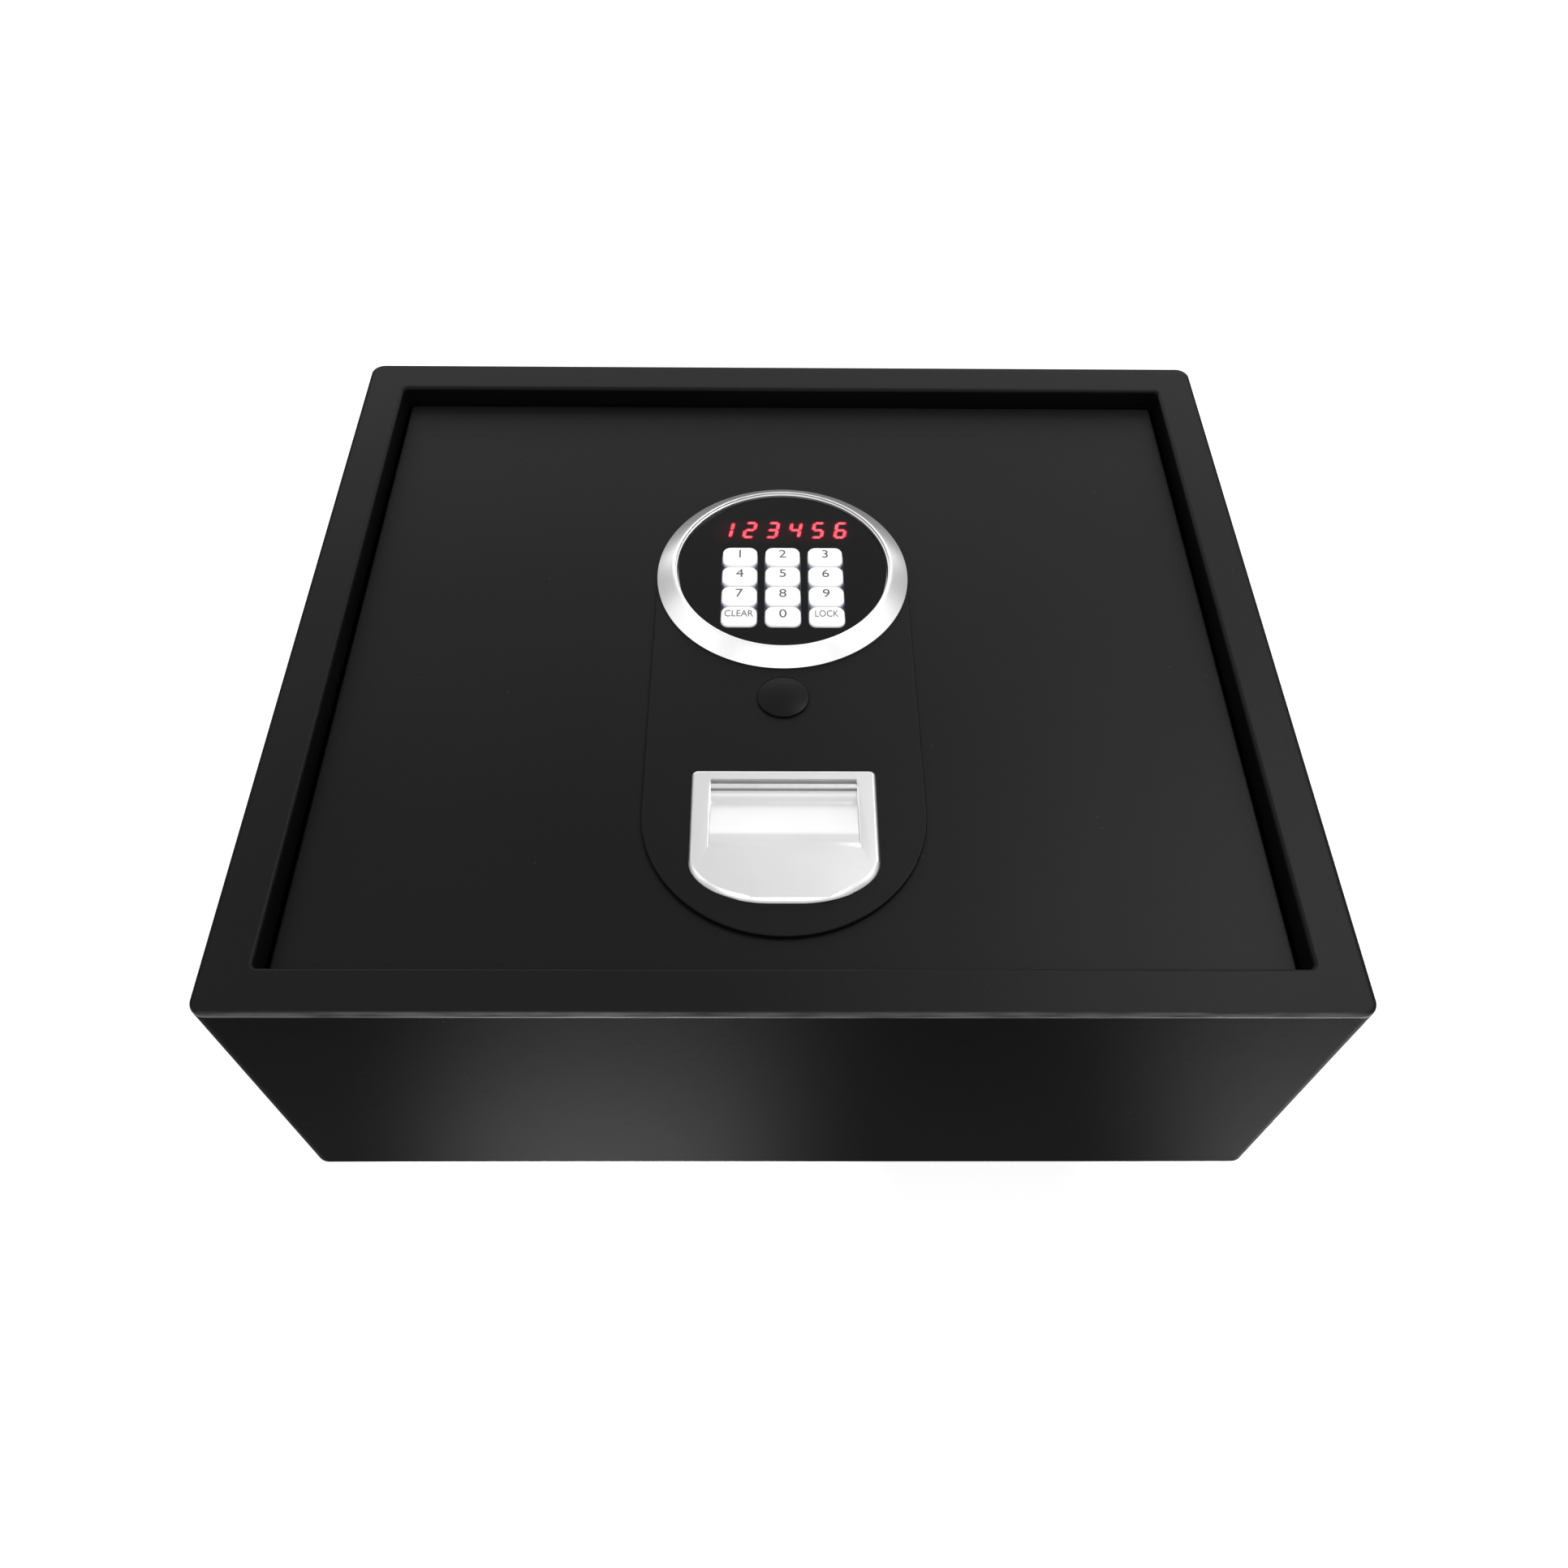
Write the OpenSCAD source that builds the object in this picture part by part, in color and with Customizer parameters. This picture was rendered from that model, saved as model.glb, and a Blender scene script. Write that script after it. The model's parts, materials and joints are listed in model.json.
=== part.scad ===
// Top opening hotel safe: a folded steel box, a sunk lid on a rear hinge, and a motor driven
// pair of bolts under the lid. X runs along the width, the front is at -Y, Z is up, and the
// origin is at the middle of the underside. All sizes are in millimetres.

/* [Body] */
// Width of the body
body_w = 400; // [370:5:450]
// Depth of the body, front to back
body_d = 350; // [340:5:400]
// Height of the body
body_h = 145; // [140:5:190]
// Sheet thickness of the walls and the base
sheet_t = 2; // [1.5:0.5:3]
// Radius of the upright corners
corner_r = 6; // [4:0.5:10]
// Distance between the anchor holes across the width
anchor_dx = 260; // [200:10:300]
// Distance between the anchor holes across the depth
anchor_dy = 200; // [160:10:240]
// Diameter of the anchor holes
anchor_d = 10; // [8:0.5:12]

/* [Top frame] */
// Width of the flat rim
rim_w = 18; // [16:0.5:22]
// Thickness of the rim plate and its lip
frame_t = 2; // [1.5:0.5:2.5]
// Height of the turned down lip, with the rim plate
lip_h = 11; // [9.5:0.5:12]
// Radius of the folds along the rim
fold_r = 1.6; // [1:0.2:2]

/* [Lid] */
// Thickness of the lid plate
lid_t = 4; // [3:0.5:5]
// Depth of the lid below the rim
lid_drop = 8; // [7:0.5:9]
// Gap between the lid and the lip at the front and the sides
lid_gap = 2.5; // [1.5:0.5:3]
// Gap between the lid and the lip at the back, for its swing
lid_rear_gap = 3; // [3:0.5:4]

/* [Hinge] */
// Distance of each hinge from the middle
hinge_x = 120; // [118:2:140]
// Diameter of the hinge pins
pin_d = 6; // [5:0.5:7]
// Hinge axis in front of the lid's rear edge
hinge_inset = 13.5; // [12:0.5:15]
// Hinge axis below the lid plate
hinge_drop = 7; // [7:0.5:8]
// Angle of the open lid, where it rests on the hinge ears
open_angle = 98; // [92:2:98]

/* [Fascia and finger pull] */
// Width of the fascia plate and the bezel
fascia_w = 108; // [106:1:112]
// Thickness of the fascia plate
fascia_t = 2; // [1.5:0.5:2.5]
// Front end of the fascia plate behind the lid's front edge
fascia_in = 13; // [10:0.5:16]
// Width of the finger pull
pull_w = 70.5; // [68:0.5:76]
// Length of the finger pull, front to back
pull_l = 58.5; // [56:0.5:62]
// Front end of the finger pull behind the lid's front edge
pull_in = 26.2; // [24.2:0.2:27.2]
// Width of the scoop for the fingers
scoop_w = 55.6; // [50:0.5:58]
// Depth of the scoop below the plate of the finger pull
scoop_deep = 12; // [10:0.5:12.5]

/* [Keypad] */
// Centre of the keypad behind the lid's front edge
keypad_in = 191.5; // [188.5:0.5:194.5]
// Height of the bezel above the fascia
bezel_h = 6; // [5.5:0.5:7]
// Radius of the lens
lens_r = 44.8; // [44.4:0.1:45]
// Width of a key
key_w = 15; // [14:0.1:15.2]
// Length of a key, front to back
key_l = 11.3; // [10.5:0.1:11.3]
// Spacing of the key columns
key_dx = 18.4; // [18.2:0.1:18.6]
// Spacing of the key rows
key_dy = 11.8; // [11.7:0.1:12]
// Travel of a key
key_travel = 1; // [0.6:0.1:1]

/* [Override lock] */
// Centre of the override lock behind the lid's front edge
lock_in = 122.5; // [121.5:0.5:123.5]
// Diameter of the keyhole cap
cap_d = 21; // [19:0.5:22]
// Diameter of the lock's barrel
barrel_d = 16; // [15:0.5:16]

/* [Bolts and drive] */
// Diameter of the bolts
bolt_d = 18; // [16:0.5:18]
// Distance of each bolt inside the cover's side
bolt_inset = 23; // [22:0.5:26]
// Throw of the bolts
bolt_throw = 15; // [12:0.5:15]
// Module of the rack and pinion
gear_module = 1; // [0.9:0.1:1]
// Teeth of the pinion
pinion_teeth = 14; // [13:1:14]
// Face width of the rack and pinion
gear_w = 8; // [6:0.5:9]

/* [Cover and batteries] */
// Width of the lock cover without its flanges
cover_w = 176; // [172:1:180]
// Depth of the lock cover below the lid plate
cover_deep = 36; // [35:1:42]
// Sheet thickness of the lock cover
cover_t = 1.2; // [1:0.1:1.5]
// Diameter of a battery cell
cell_d = 14.5; // [14:0.1:14.5]
// Length of a battery cell
cell_l = 50.5; // [49:0.5:51]

/* [Hidden] */
$fn = 64;

// Clearances
fine_gap = 0.05;      // a pin, shaft or core in its bore
slide_gap = 0.15;     // flat faces that slide on each other
part_gap = 0.3;       // pieces that pass each other
loose_gap = 0.5;      // a piece dropped into its cut-out

// Body and top frame
half_w = body_w / 2;
half_d = body_d / 2;
open_w = body_w - 2 * rim_w;
open_d = body_d - 2 * rim_w;
open_r = 2;
frame_z = body_h - frame_t;
lip_z = body_h - lip_h;
lip_y = -open_d / 2;
mat_t = 3;
mat_z = sheet_t + part_gap;

// Lid
lid_top = body_h - lid_drop;
lid_under = lid_top - lid_t;
lid_w = open_w - 2 * lid_gap;
lid_front = -open_d / 2 + lid_gap;
lid_rear = open_d / 2 - lid_rear_gap;
hinge_y = lid_rear - hinge_inset;
hinge_z = lid_under - hinge_drop;
fascia_front = -lid_front - fascia_in;
pull_front = -lid_front - pull_in;
keypad_y = lid_front + keypad_in;
lock_front = -lid_front - lock_in;

// Hinge ears and springs
ear_t = 3;
ear_gap = 30;
ear_r = hinge_drop - 0.7;
lug_w = 10;
lug_r = hinge_drop - 1.2;
pin_len = ear_gap + 2 * ear_t + 6;
pin_head_r = pin_d / 2 + 1.6;
spring_wire = 2;
spring_r = hinge_drop - 0.4 - spring_wire / 2;
spring_turns = 5.5;
spring_pitch = 2.6;
spring_x = lug_w - ear_gap / 2 + 3;
upper_leg = 26;
lower_leg = 18;

// Fascia, finger pull and keypad
fascia_top = lid_top + fascia_t;
fascia_r = fascia_w / 2;
pull_t = 2.2;
pull_top = fascia_top + pull_t;
pull_wall = 2;
scoop_front = -pull_front + 22.9;
scoop_rear = -pull_front + pull_l - 6.4;
scoop_hook = 3.2;
cup_box = [-scoop_w / 2 - pull_wall, scoop_front - 1.6, scoop_w / 2 + pull_wall,
  scoop_rear + scoop_hook + 1.5];
cup_z = pull_top - scoop_deep - 1.5;
lens_t = 1.6;
lens_top = fascia_top + 4;
lens_z = lens_top - lens_t;
ledge_r = lens_r - 1.4;
housing_r = ledge_r - 0.7;
housing_t = 1.7;
housing_z = lid_under - 8;
keypad_hole_r = housing_r + part_gap;
key_r = 3;
key_proud = 1;
key_z = fascia_top + key_travel;
key_rows_y = 6.75;
slot_gap = 0.25;
ear_out = 0.9;
board_t = 1.6;
board_r = housing_r - housing_t - part_gap;
board_top = fascia_top - 1.3;
mat_top = board_top + 0.5;
dome_top = fascia_top - part_gap;
digit_dx = 9.6;
display_size = [3 * digit_dx - 0.4, 11.2];
display_y = keypad_y + key_rows_y + key_dy + 4.7;
boss_d = 4.8;
boss_ring_r = fascia_r - 4.5;

// Override lock
cap_skirt_r = barrel_d / 2 + 0.4;
cap_hole_r = cap_skirt_r + 0.1;
barrel_top = lid_top - 1.7;
core_r = 5.5;
cam_t = 2;
cam_pin_r = 2.5;
cam_reach = bolt_throw / (2 * sin(45));

// Bolts and drive, from the lid down and from its front edge back
bolt_x = cover_w / 2 - bolt_inset;
chassis_t = 2;
chassis_z = lid_under - chassis_t;
chassis_rear = lid_front + 144.5;
bush_r = bolt_d / 2 + 1.2;
bush_collar = 0.7;
bolt_z = chassis_z - 0.6 - bush_r - bush_collar;
plate_t = 3;
plate_top = bolt_z - bolt_d / 2;
plate_z = plate_top - plate_t;
chassis_front = lid_front + 5.5;
bolt_tip = lid_front + 1.5;
tab_y = lid_front + 53.5;
bolt_tail = tab_y - plate_t;
plate_rear = lid_front + 156.5;
plate_half = bolt_x + 13;
rack_base = 2.5;
pitch_r = gear_module * pinion_teeth / 2;
rack_pitch_z = plate_top + rack_base + 1.25 * gear_module;
drive_y = lid_front + 98.5;
drive_z = rack_pitch_z + pitch_r;
gear_x = 20;
motor_x = 8;
gearbox = [9, 12, 10];
shaft_r = 1.5;
post_r = 3;
post_head_r = 5.5;
post_x = max(bolt_x - 25, scoop_w / 2 + pull_wall + post_head_r + loose_gap);
post_spots = [[-post_x, lid_front + 66.5], [post_x, lid_front + 66.5],
  [3 - bolt_x, lid_front + 132.5], [bolt_x - 3, lid_front + 132.5]];

// Strike behind the front lip
strike_t = 3;
strike_y = lip_y - frame_t;
strike_low = bolt_z - bolt_d / 2 - 4.5;
strike_half = bolt_x + 35;
socket_w = bolt_d + 2;

// Cover, batteries and reset
cover_z = lid_under - cover_deep;
cover_floor = cover_z + cover_t;
cover_box = [-cover_w / 2, lid_front + 3.5, cover_w / 2, lid_front + 256.5];
cover_screw_x = cover_w / 2 + 4.8;
cover_screw_rows = [for (inset = [34.5, 134.5, 234.5]) lid_front + inset];
cell_dx = cell_d + 0.5;
case_t = 1.5;
case_in_w = 4 * cell_dx + 3;
case_in_l = cell_l + 12.5;
case_y = lid_front + 199.5;
case_top = cover_z + cell_d + 4.2;
case_box = [-case_in_w / 2 - case_t, case_y - case_in_l / 2 - case_t,
  case_in_w / 2 + case_t, case_y + case_in_l / 2 + case_t];
cell_z = cover_z + 2.4 + cell_d / 2;
door_t = 1.4;
door_pin_r = 1;
door_axis_y = case_y + case_in_l / 2 - 1.8;
door_axis_z = cover_z + 1.5;
control_t = 1.6;
control_z = case_top + 2.9;
reset_x = case_in_w / 2 + 18;
reset_y = case_y;
reset_travel = 1;
reset_top = cover_floor + 1.5;

function around(x, y, w, l) = [x - w / 2, y - l / 2, x + w / 2, y + l / 2];
function grown(box, g) = [box[0] - g, box[1] - g, box[2] + g, box[3] + g];
function same(r) = [r, r, r, r];
function key_at(col, row) = [(col - 1) * key_dx, keypad_y + key_rows_y - row * key_dy];

// Plan outline of a box with its own radius at each corner: front left, front right, back
// right, back left
module outline(box, r) {
  x0 = box[0];
  y0 = box[1];
  x1 = box[2];
  y1 = box[3];
  polygon([[x0 + r[0], y0], [x1 - r[1], y0], [x1, y0 + r[1]], [x1, y1 - r[2]],
    [x1 - r[2], y1], [x0 + r[3], y1], [x0, y1 - r[3]], [x0, y0 + r[0]]]);
  translate([x0 + r[0], y0 + r[0]]) circle(r[0]);
  translate([x1 - r[1], y0 + r[1]]) circle(r[1]);
  translate([x1 - r[2], y1 - r[2]]) circle(r[2]);
  translate([x0 + r[3], y1 - r[3]]) circle(r[3]);
}

// Runs a profile round such an outline: its x points outward, its y points up
module along_edge(box, r) {
  x0 = box[0];
  y0 = box[1];
  x1 = box[2];
  y1 = box[3];
  translate([x0 + r[0], y0 + r[0]]) rotate(180) rotate_extrude(angle = 90) translate([r[0], 0]) children();
  translate([x1 - r[1], y0 + r[1]]) rotate(270) rotate_extrude(angle = 90) translate([r[1], 0]) children();
  translate([x1 - r[2], y1 - r[2]]) rotate_extrude(angle = 90) translate([r[2], 0]) children();
  translate([x0 + r[3], y1 - r[3]]) rotate(90) rotate_extrude(angle = 90) translate([r[3], 0]) children();
  translate([x1, y0 + r[1]]) edge_run(y1 - y0 - r[1] - r[2]) children();
  translate([x0, y1 - r[3]]) rotate(180) edge_run(y1 - y0 - r[3] - r[0]) children();
  translate([x1 - r[2], y1]) rotate(90) edge_run(x1 - x0 - r[2] - r[3]) children();
  translate([x0 + r[0], y0]) rotate(270) edge_run(x1 - x0 - r[0] - r[1]) children();
}

module edge_run(length) {
  rotate([90, 0, 180]) mirror([1, 0, 0]) linear_extrude(length) children();
}

// Cutter that rounds an upper outer edge
module round_over(r) {
  difference() {
    translate([-r, -r]) square([r + 1, r + 1]);
    translate([-r, -r]) circle(r);
  }
}

// Slab between two heights
module slab(z0, z1) {
  translate([0, 0, z0]) linear_extrude(z1 - z0) children();
}

module rod(x, y, z0, z1, r) {
  translate([x, y, z0]) cylinder(h = z1 - z0, r = r);
}

// Round bar along X
module rod_x(x0, x1, y, z, r) {
  translate([x0, y, z]) rotate([0, 90, 0]) cylinder(h = x1 - x0, r = r);
}

// Round bar along Y
module rod_y(x, y0, y1, z, r) {
  translate([x, y1, z]) rotate([90, 0, 0]) cylinder(h = y1 - y0, r = r);
}

// A profile drawn in Y and Z, run from x0 to x1
module side_slab(x0, x1) {
  translate([x0, 0, 0]) rotate([90, 0, 90]) linear_extrude(x1 - x0) children();
}

module both_sides() {
  children();
  mirror([1, 0, 0]) children();
}

// Pan head screw that is driven upward, its head's seat at z
module screw_up(x, y, z, length, r) {
  difference() {
    union() {
      rod(x, y, z - 1.3 * r, z, 1.9 * r);
      rod(x, y, z, z + length, r);
    }
    rod(x, y, z - 1.3 * r - 1, z - 0.5 * r, 0.9 * r, $fn = 6);
  }
}

// Body

module anchor_holes(r) {
  for (x = [-anchor_dx / 2, anchor_dx / 2], y = [-anchor_dy / 2, anchor_dy / 2])
    rod(x, y, -1, sheet_t + mat_t + 5, r);
}

// Four walls, one strip of sheet folded round the corners
module body_shell() {
  box = around(0, 0, body_w, body_d);
  color("#242424") difference() {
    slab(0, frame_z) outline(box, same(corner_r));
    slab(-1, body_h) outline(grown(box, -sheet_t), same(corner_r - sheet_t));
    mirror([0, 0, 1]) along_edge(box, same(corner_r)) round_over(1.2);
    translate([0, 0, frame_z]) along_edge(box, same(corner_r)) round_over(0.5);
  }
}

// Base, welded in between the walls
module base_plate() {
  box = around(0, 0, body_w, body_d);
  color("#222222") difference() {
    slab(0, sheet_t) outline(grown(box, -sheet_t), same(corner_r - sheet_t + 1));
    anchor_holes(anchor_d / 2);
  }
}

module top_frame() {
  box = around(0, 0, body_w, body_d);
  mouth = around(0, 0, open_w, open_d);
  color("#262626") difference() {
    union() {
      slab(frame_z, body_h) outline(box, same(corner_r));
      slab(lip_z, frame_z + frame_t / 2) outline(grown(mouth, frame_t), same(open_r + frame_t));
    }
    slab(lip_z - 1, body_h + 1) outline(mouth, same(open_r));
    translate([0, 0, body_h]) along_edge(box, same(corner_r)) round_over(fold_r);
    translate([0, 0, body_h]) along_edge(mouth, same(open_r)) mirror([1, 0, 0]) round_over(fold_r);
  }
}

// Angle behind the front lip, with a square socket for each bolt
module strike_bracket() {
  wall_y = -half_d + sheet_t;
  color("#303030") difference() {
    union() {
      slab(strike_low, frame_z) outline([-strike_half, strike_y - strike_t, strike_half, strike_y], same(0.5));
      slab(strike_low, strike_low + strike_t)
        outline([-strike_half, wall_y, strike_half, strike_y - 0.5], same(0.5));
    }
    both_sides() translate([0, strike_y + 1, 0]) rotate([90, 0, 0]) linear_extrude(strike_t + 2)
      outline(around(bolt_x, bolt_z, socket_w, socket_w), same(0.6));
  }
}

rest_w = 20;
rest_x = strike_half + rest_w / 2 + 12;
rest_top = lid_under - 2.2;

module rest_brackets() {
  color("#303030") both_sides() {
    slab(rest_top - 2, lip_z + 6)
      outline([rest_x - rest_w / 2, strike_y - 2, rest_x + rest_w / 2, strike_y], same(0.4));
    slab(rest_top - 2, rest_top)
      outline([rest_x - rest_w / 2, strike_y - 1, rest_x + rest_w / 2, lid_front + 8], [0.4, 0.4, 4, 4]);
  }
}

module lid_buffers() {
  color("#101010") both_sides() difference() {
    rod(rest_x, lid_front + 3, rest_top, lid_under - 0.1, 4);
    rod(rest_x, lid_front + 3, rest_top + 1, lid_under + 1, 1.6);
  }
}

// Outline of a hinge ear about the pin, drawn in Y and Z. The rear face is where the lid's
// underside comes to rest, and the arm stays below the sweep of the lid's rear edge.
arm_low = -norm([hinge_inset, hinge_drop + lid_t]) - 0.6;
stop_dist = hinge_drop - slide_gap;
function stop_y(z) = (stop_dist - z * cos(open_angle)) / sin(open_angle);
shelf_top = -spring_r - spring_wire / 2 - 0.2;
ear_back = half_d - sheet_t - ear_t - hinge_y;

module hinge_ear() {
  translate([hinge_y, hinge_z]) difference() {
    union() {
      circle(ear_r);
      polygon([[stop_y(0), 0], [stop_y(arm_low), arm_low], [ear_back, arm_low],
        [ear_back, arm_low - 16], [2, arm_low - 16], [-14, shelf_top - ear_t],
        [-24, shelf_top - ear_t], [-24, shelf_top + 3], [-ear_r, shelf_top + 3], [-ear_r, 0]]);
    }
    circle(pin_d / 2 + fine_gap / 2);
  }
}

module hinge_brackets() {
  color("#303030") both_sides() translate([hinge_x, 0, 0]) {
    for (x = [-ear_gap / 2 - ear_t, ear_gap / 2]) side_slab(x, x + ear_t) hinge_ear();
    side_slab(-ear_gap / 2, ear_gap / 2) translate([hinge_y, hinge_z])
      polygon([[-24, shelf_top - ear_t], [-6, shelf_top - ear_t], [-6, shelf_top], [-24, shelf_top]]);
    slab(hinge_z + arm_low - 18, hinge_z + arm_low + 2)
      outline([-ear_gap / 2 - 8, half_d - sheet_t - ear_t, ear_gap / 2 + 8, half_d - sheet_t], same(0.5));
  }
}

module hinge_pins() {
  color("#b8b8b8") both_sides() translate([hinge_x, 0, 0]) difference() {
    union() {
      rod_x(-ear_gap / 2 - ear_t - 2, pin_len / 2, hinge_y, hinge_z, pin_d / 2);
      rod_x(-ear_gap / 2 - ear_t - 2, -ear_gap / 2 - ear_t - 0.1, hinge_y, hinge_z, pin_head_r);
    }
    difference() {
      rod_x(pin_len / 2 - 2.4, pin_len / 2 - 1.4, hinge_y, hinge_z, pin_d);
      rod_x(pin_len / 2 - 3, pin_len / 2, hinge_y, hinge_z, pin_d / 2 - 0.5);
    }
  }
}

// Retaining rings in the pins' grooves
module hinge_clips() {
  color("#8a8a8a") both_sides() translate([hinge_x, 0, 0]) difference() {
    rod_x(pin_len / 2 - 2.3, pin_len / 2 - 1.5, hinge_y, hinge_z, pin_head_r);
    rod_x(pin_len / 2 - 3, pin_len / 2, hinge_y, hinge_z, pin_d / 2 - 0.45);
    translate([pin_len / 2 - 3, hinge_y - 1.2, hinge_z]) cube([4, 2.4, 10]);
  }
}

// Torsion springs: one tube each, a leg under the lid, turns round the pin, and a leg on the
// bracket's shelf
coil_rings = 8;
tube_sides = 6;
coil_steps = spring_turns * coil_rings;
coil_path = [for (i = [0 : coil_steps]) let (a = 90 - i * 360 / coil_rings)
  [spring_x + i * spring_pitch / coil_rings, spring_r * cos(a), spring_r * sin(a)]];
coil_out = [for (i = [0 : coil_steps]) let (a = 90 - i * 360 / coil_rings) [0, cos(a), sin(a)]];
spring_path = concat([coil_path[0] + [0, -upper_leg, 0], coil_path[0] + [0, -spring_wire, 0]],
  coil_path,
  [coil_path[coil_steps] + [0, -spring_wire, 0], coil_path[coil_steps] + [0, -lower_leg, 0]]);
spring_out = concat([coil_out[0], coil_out[0]], coil_out,
  [coil_out[coil_steps], coil_out[coil_steps]]);

function path_step(p, i) = p[min(i + 1, len(p) - 1)] - p[max(i - 1, 0)];
function unit(v) = v / norm(v);

module tube(path, out, r) {
  rings = len(path);
  points = [for (i = [0 : rings - 1])
    let (t = unit(path_step(path, i)), side = unit(cross(t, out[i])), top = cross(side, t))
      for (k = [0 : tube_sides - 1]) let (a = k * 360 / tube_sides)
        path[i] + r * (cos(a) * top + sin(a) * side)];
  sides = [for (i = [0 : rings - 2], k = [0 : tube_sides - 1])
    let (a = i * tube_sides + k, b = i * tube_sides + (k + 1) % tube_sides)
      for (f = [[a, b, a + tube_sides], [b, b + tube_sides, a + tube_sides]]) f];
  first = [for (k = [1 : tube_sides - 2]) [0, k + 1, k]];
  end = (rings - 1) * tube_sides;
  last = [for (k = [1 : tube_sides - 2]) [end, end + k, end + k + 1]];
  polyhedron(points, concat(sides, first, last), convexity = 10);
}

// Least distance between the wire and its own next turn
self_gap = min([for (i = [0 : coil_steps - coil_rings], j = [i + coil_rings - 2 : min(coil_steps, i + coil_rings + 2)])
  norm(coil_path[i] - coil_path[j])]) - spring_wire;
echo(spring_gap_to_itself = self_gap);

module hinge_springs() {
  color("#9a9a9a") both_sides()
    translate([hinge_x, hinge_y, hinge_z]) tube(spring_path, spring_out, spring_wire / 2);
}

module floor_mat() {
  box = around(0, 0, body_w - 2 * sheet_t - 3, body_d - 2 * sheet_t - 3);
  color("#2c2c30") difference() {
    slab(mat_z, mat_z + mat_t) outline(box, same(corner_r - 2));
    anchor_holes(anchor_d / 2 + 5);
  }
}

// Lid and what is fixed to it

module pull_hole(z0, z1) {
  slab(z0, z1) outline(grown(cup_box, loose_gap), same(1.5));
}

module bezel_boss_spots() {
  for (a = [30, 150, 270]) translate([boss_ring_r * cos(a), keypad_y + boss_ring_r * sin(a), 0]) children();
}

module pull_boss_spots() {
  both_sides() translate([18, -pull_front + 9.5, 0]) children();
}

// Holes and screws for the bosses of the bezel and the finger pull
module boss_spots() {
  bezel_boss_spots() children();
  pull_boss_spots() children();
}

module housing_tab_spots() {
  for (a = [0, 90, 180]) translate([0, keypad_y, 0]) rotate(a) translate([housing_r + 4, 0, 0]) children();
}

lock_screw_x = barrel_d / 2 + 4.2;

module lid_plate() {
  box = [-lid_w / 2, lid_front, lid_w / 2, lid_rear];
  color("#242424") difference() {
    slab(lid_under, lid_top) outline(box, same(2));
    translate([0, 0, lid_top]) along_edge(box, same(2)) round_over(0.8);
    rod(0, keypad_y, lid_under - 1, lid_top + 1, keypad_hole_r);
    rod(0, -lock_front, lid_under - 1, lid_top + 1, cap_hole_r);
    pull_hole(lid_under - 1, lid_top + 1);
    boss_spots() rod(0, 0, lid_under - 1, lid_top + 1, boss_d / 2 + part_gap);
    housing_tab_spots() rod(0, 0, lid_under - 1, lid_top - 1, 1.5 + fine_gap);
    both_sides() rod(lock_screw_x, -lock_front, lid_under - 1, lid_top - 1, 1.5 + fine_gap);
    both_sides() for (y = cover_screw_rows) rod(cover_screw_x, y, lid_under - 1, lid_top - 1, 2 + fine_gap);
  }
}

// Lugs welded under the lid, each between the ears of its bracket
module hinge_lugs() {
  color("#303030") both_sides() translate([hinge_x, 0, 0])
    side_slab(-ear_gap / 2 + loose_gap, -ear_gap / 2 + loose_gap + lug_w - 1)
      translate([hinge_y, hinge_z]) difference() {
        union() {
          circle(lug_r);
          polygon([[-lug_r, 0], [lug_r, 0], [9, hinge_drop], [-14, hinge_drop], [-14, hinge_drop - 2]]);
        }
        circle(pin_d / 2 + fine_gap);
      }
}

module fascia_plate() {
  front = [0, -fascia_front + fascia_r];
  color("#232323") difference() {
    union() {
      translate([0, front[1], lid_top]) rotate_extrude() fascia_edge();
      translate([0, keypad_y, lid_top]) rotate_extrude() fascia_edge();
      translate([0, keypad_y, lid_top]) rotate([90, 0, 0]) linear_extrude(keypad_y - front[1]) {
        fascia_edge();
        mirror([1, 0, 0]) fascia_edge();
      }
    }
    rod(0, keypad_y, lid_top - 1, fascia_top + 1, keypad_hole_r);
    rod(0, -lock_front, lid_top - 1, fascia_top + 1, cap_hole_r);
    pull_hole(lid_top - 1, fascia_top + 1);
    boss_spots() rod(0, 0, lid_top - 1, fascia_top + 1, boss_d / 2 + part_gap);
  }
}

module fascia_edge() {
  difference() {
    square([fascia_r, fascia_t]);
    translate([fascia_r, fascia_t]) round_over(0.7);
  }
}

// Bezel: a bowed flank up to a narrow crest, a groove, and a ledge that holds the lens
module bezel_ring() {
  foot = [fascia_r, 0.9];
  crest = [lens_r + 2.6, bezel_h];
  chord = crest - foot;
  bow_r = 40;
  mid = (foot + crest) / 2;
  bow = mid - [chord[1], -chord[0]] / norm(chord) * sqrt(bow_r * bow_r - chord * chord / 4);
  color("#c4c4c6") translate([0, keypad_y, fascia_top]) difference() {
    union() {
      rotate_extrude() difference() {
        union() {
          intersection() {
            translate([crest[0] - 1, 0]) square([fascia_r - crest[0] + 1, bezel_h]);
            translate(bow) circle(bow_r, $fn = 256);
          }
          translate([ledge_r, 0]) square([crest[0] - ledge_r, bezel_h]);
        }
        translate([ledge_r - 1, lens_z - fascia_top]) square([lens_r + 0.2 - ledge_r + 1, bezel_h]);
        translate([lens_r + 0.1, bezel_h - 0.7]) square([1.2, 1]);
        translate([lens_r, bezel_h - 1]) square([0.9, 2]);
      }
      for (a = [30, 150, 270])
        rod(boss_ring_r * cos(a), boss_ring_r * sin(a), lid_under + 0.3 - fascia_top, 0.5, boss_d / 2);
    }
    for (a = [30, 150, 270])
      rod(boss_ring_r * cos(a), boss_ring_r * sin(a), lid_under - fascia_top - 1, 0.2, 1.5 + fine_gap);
  }
}

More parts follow.
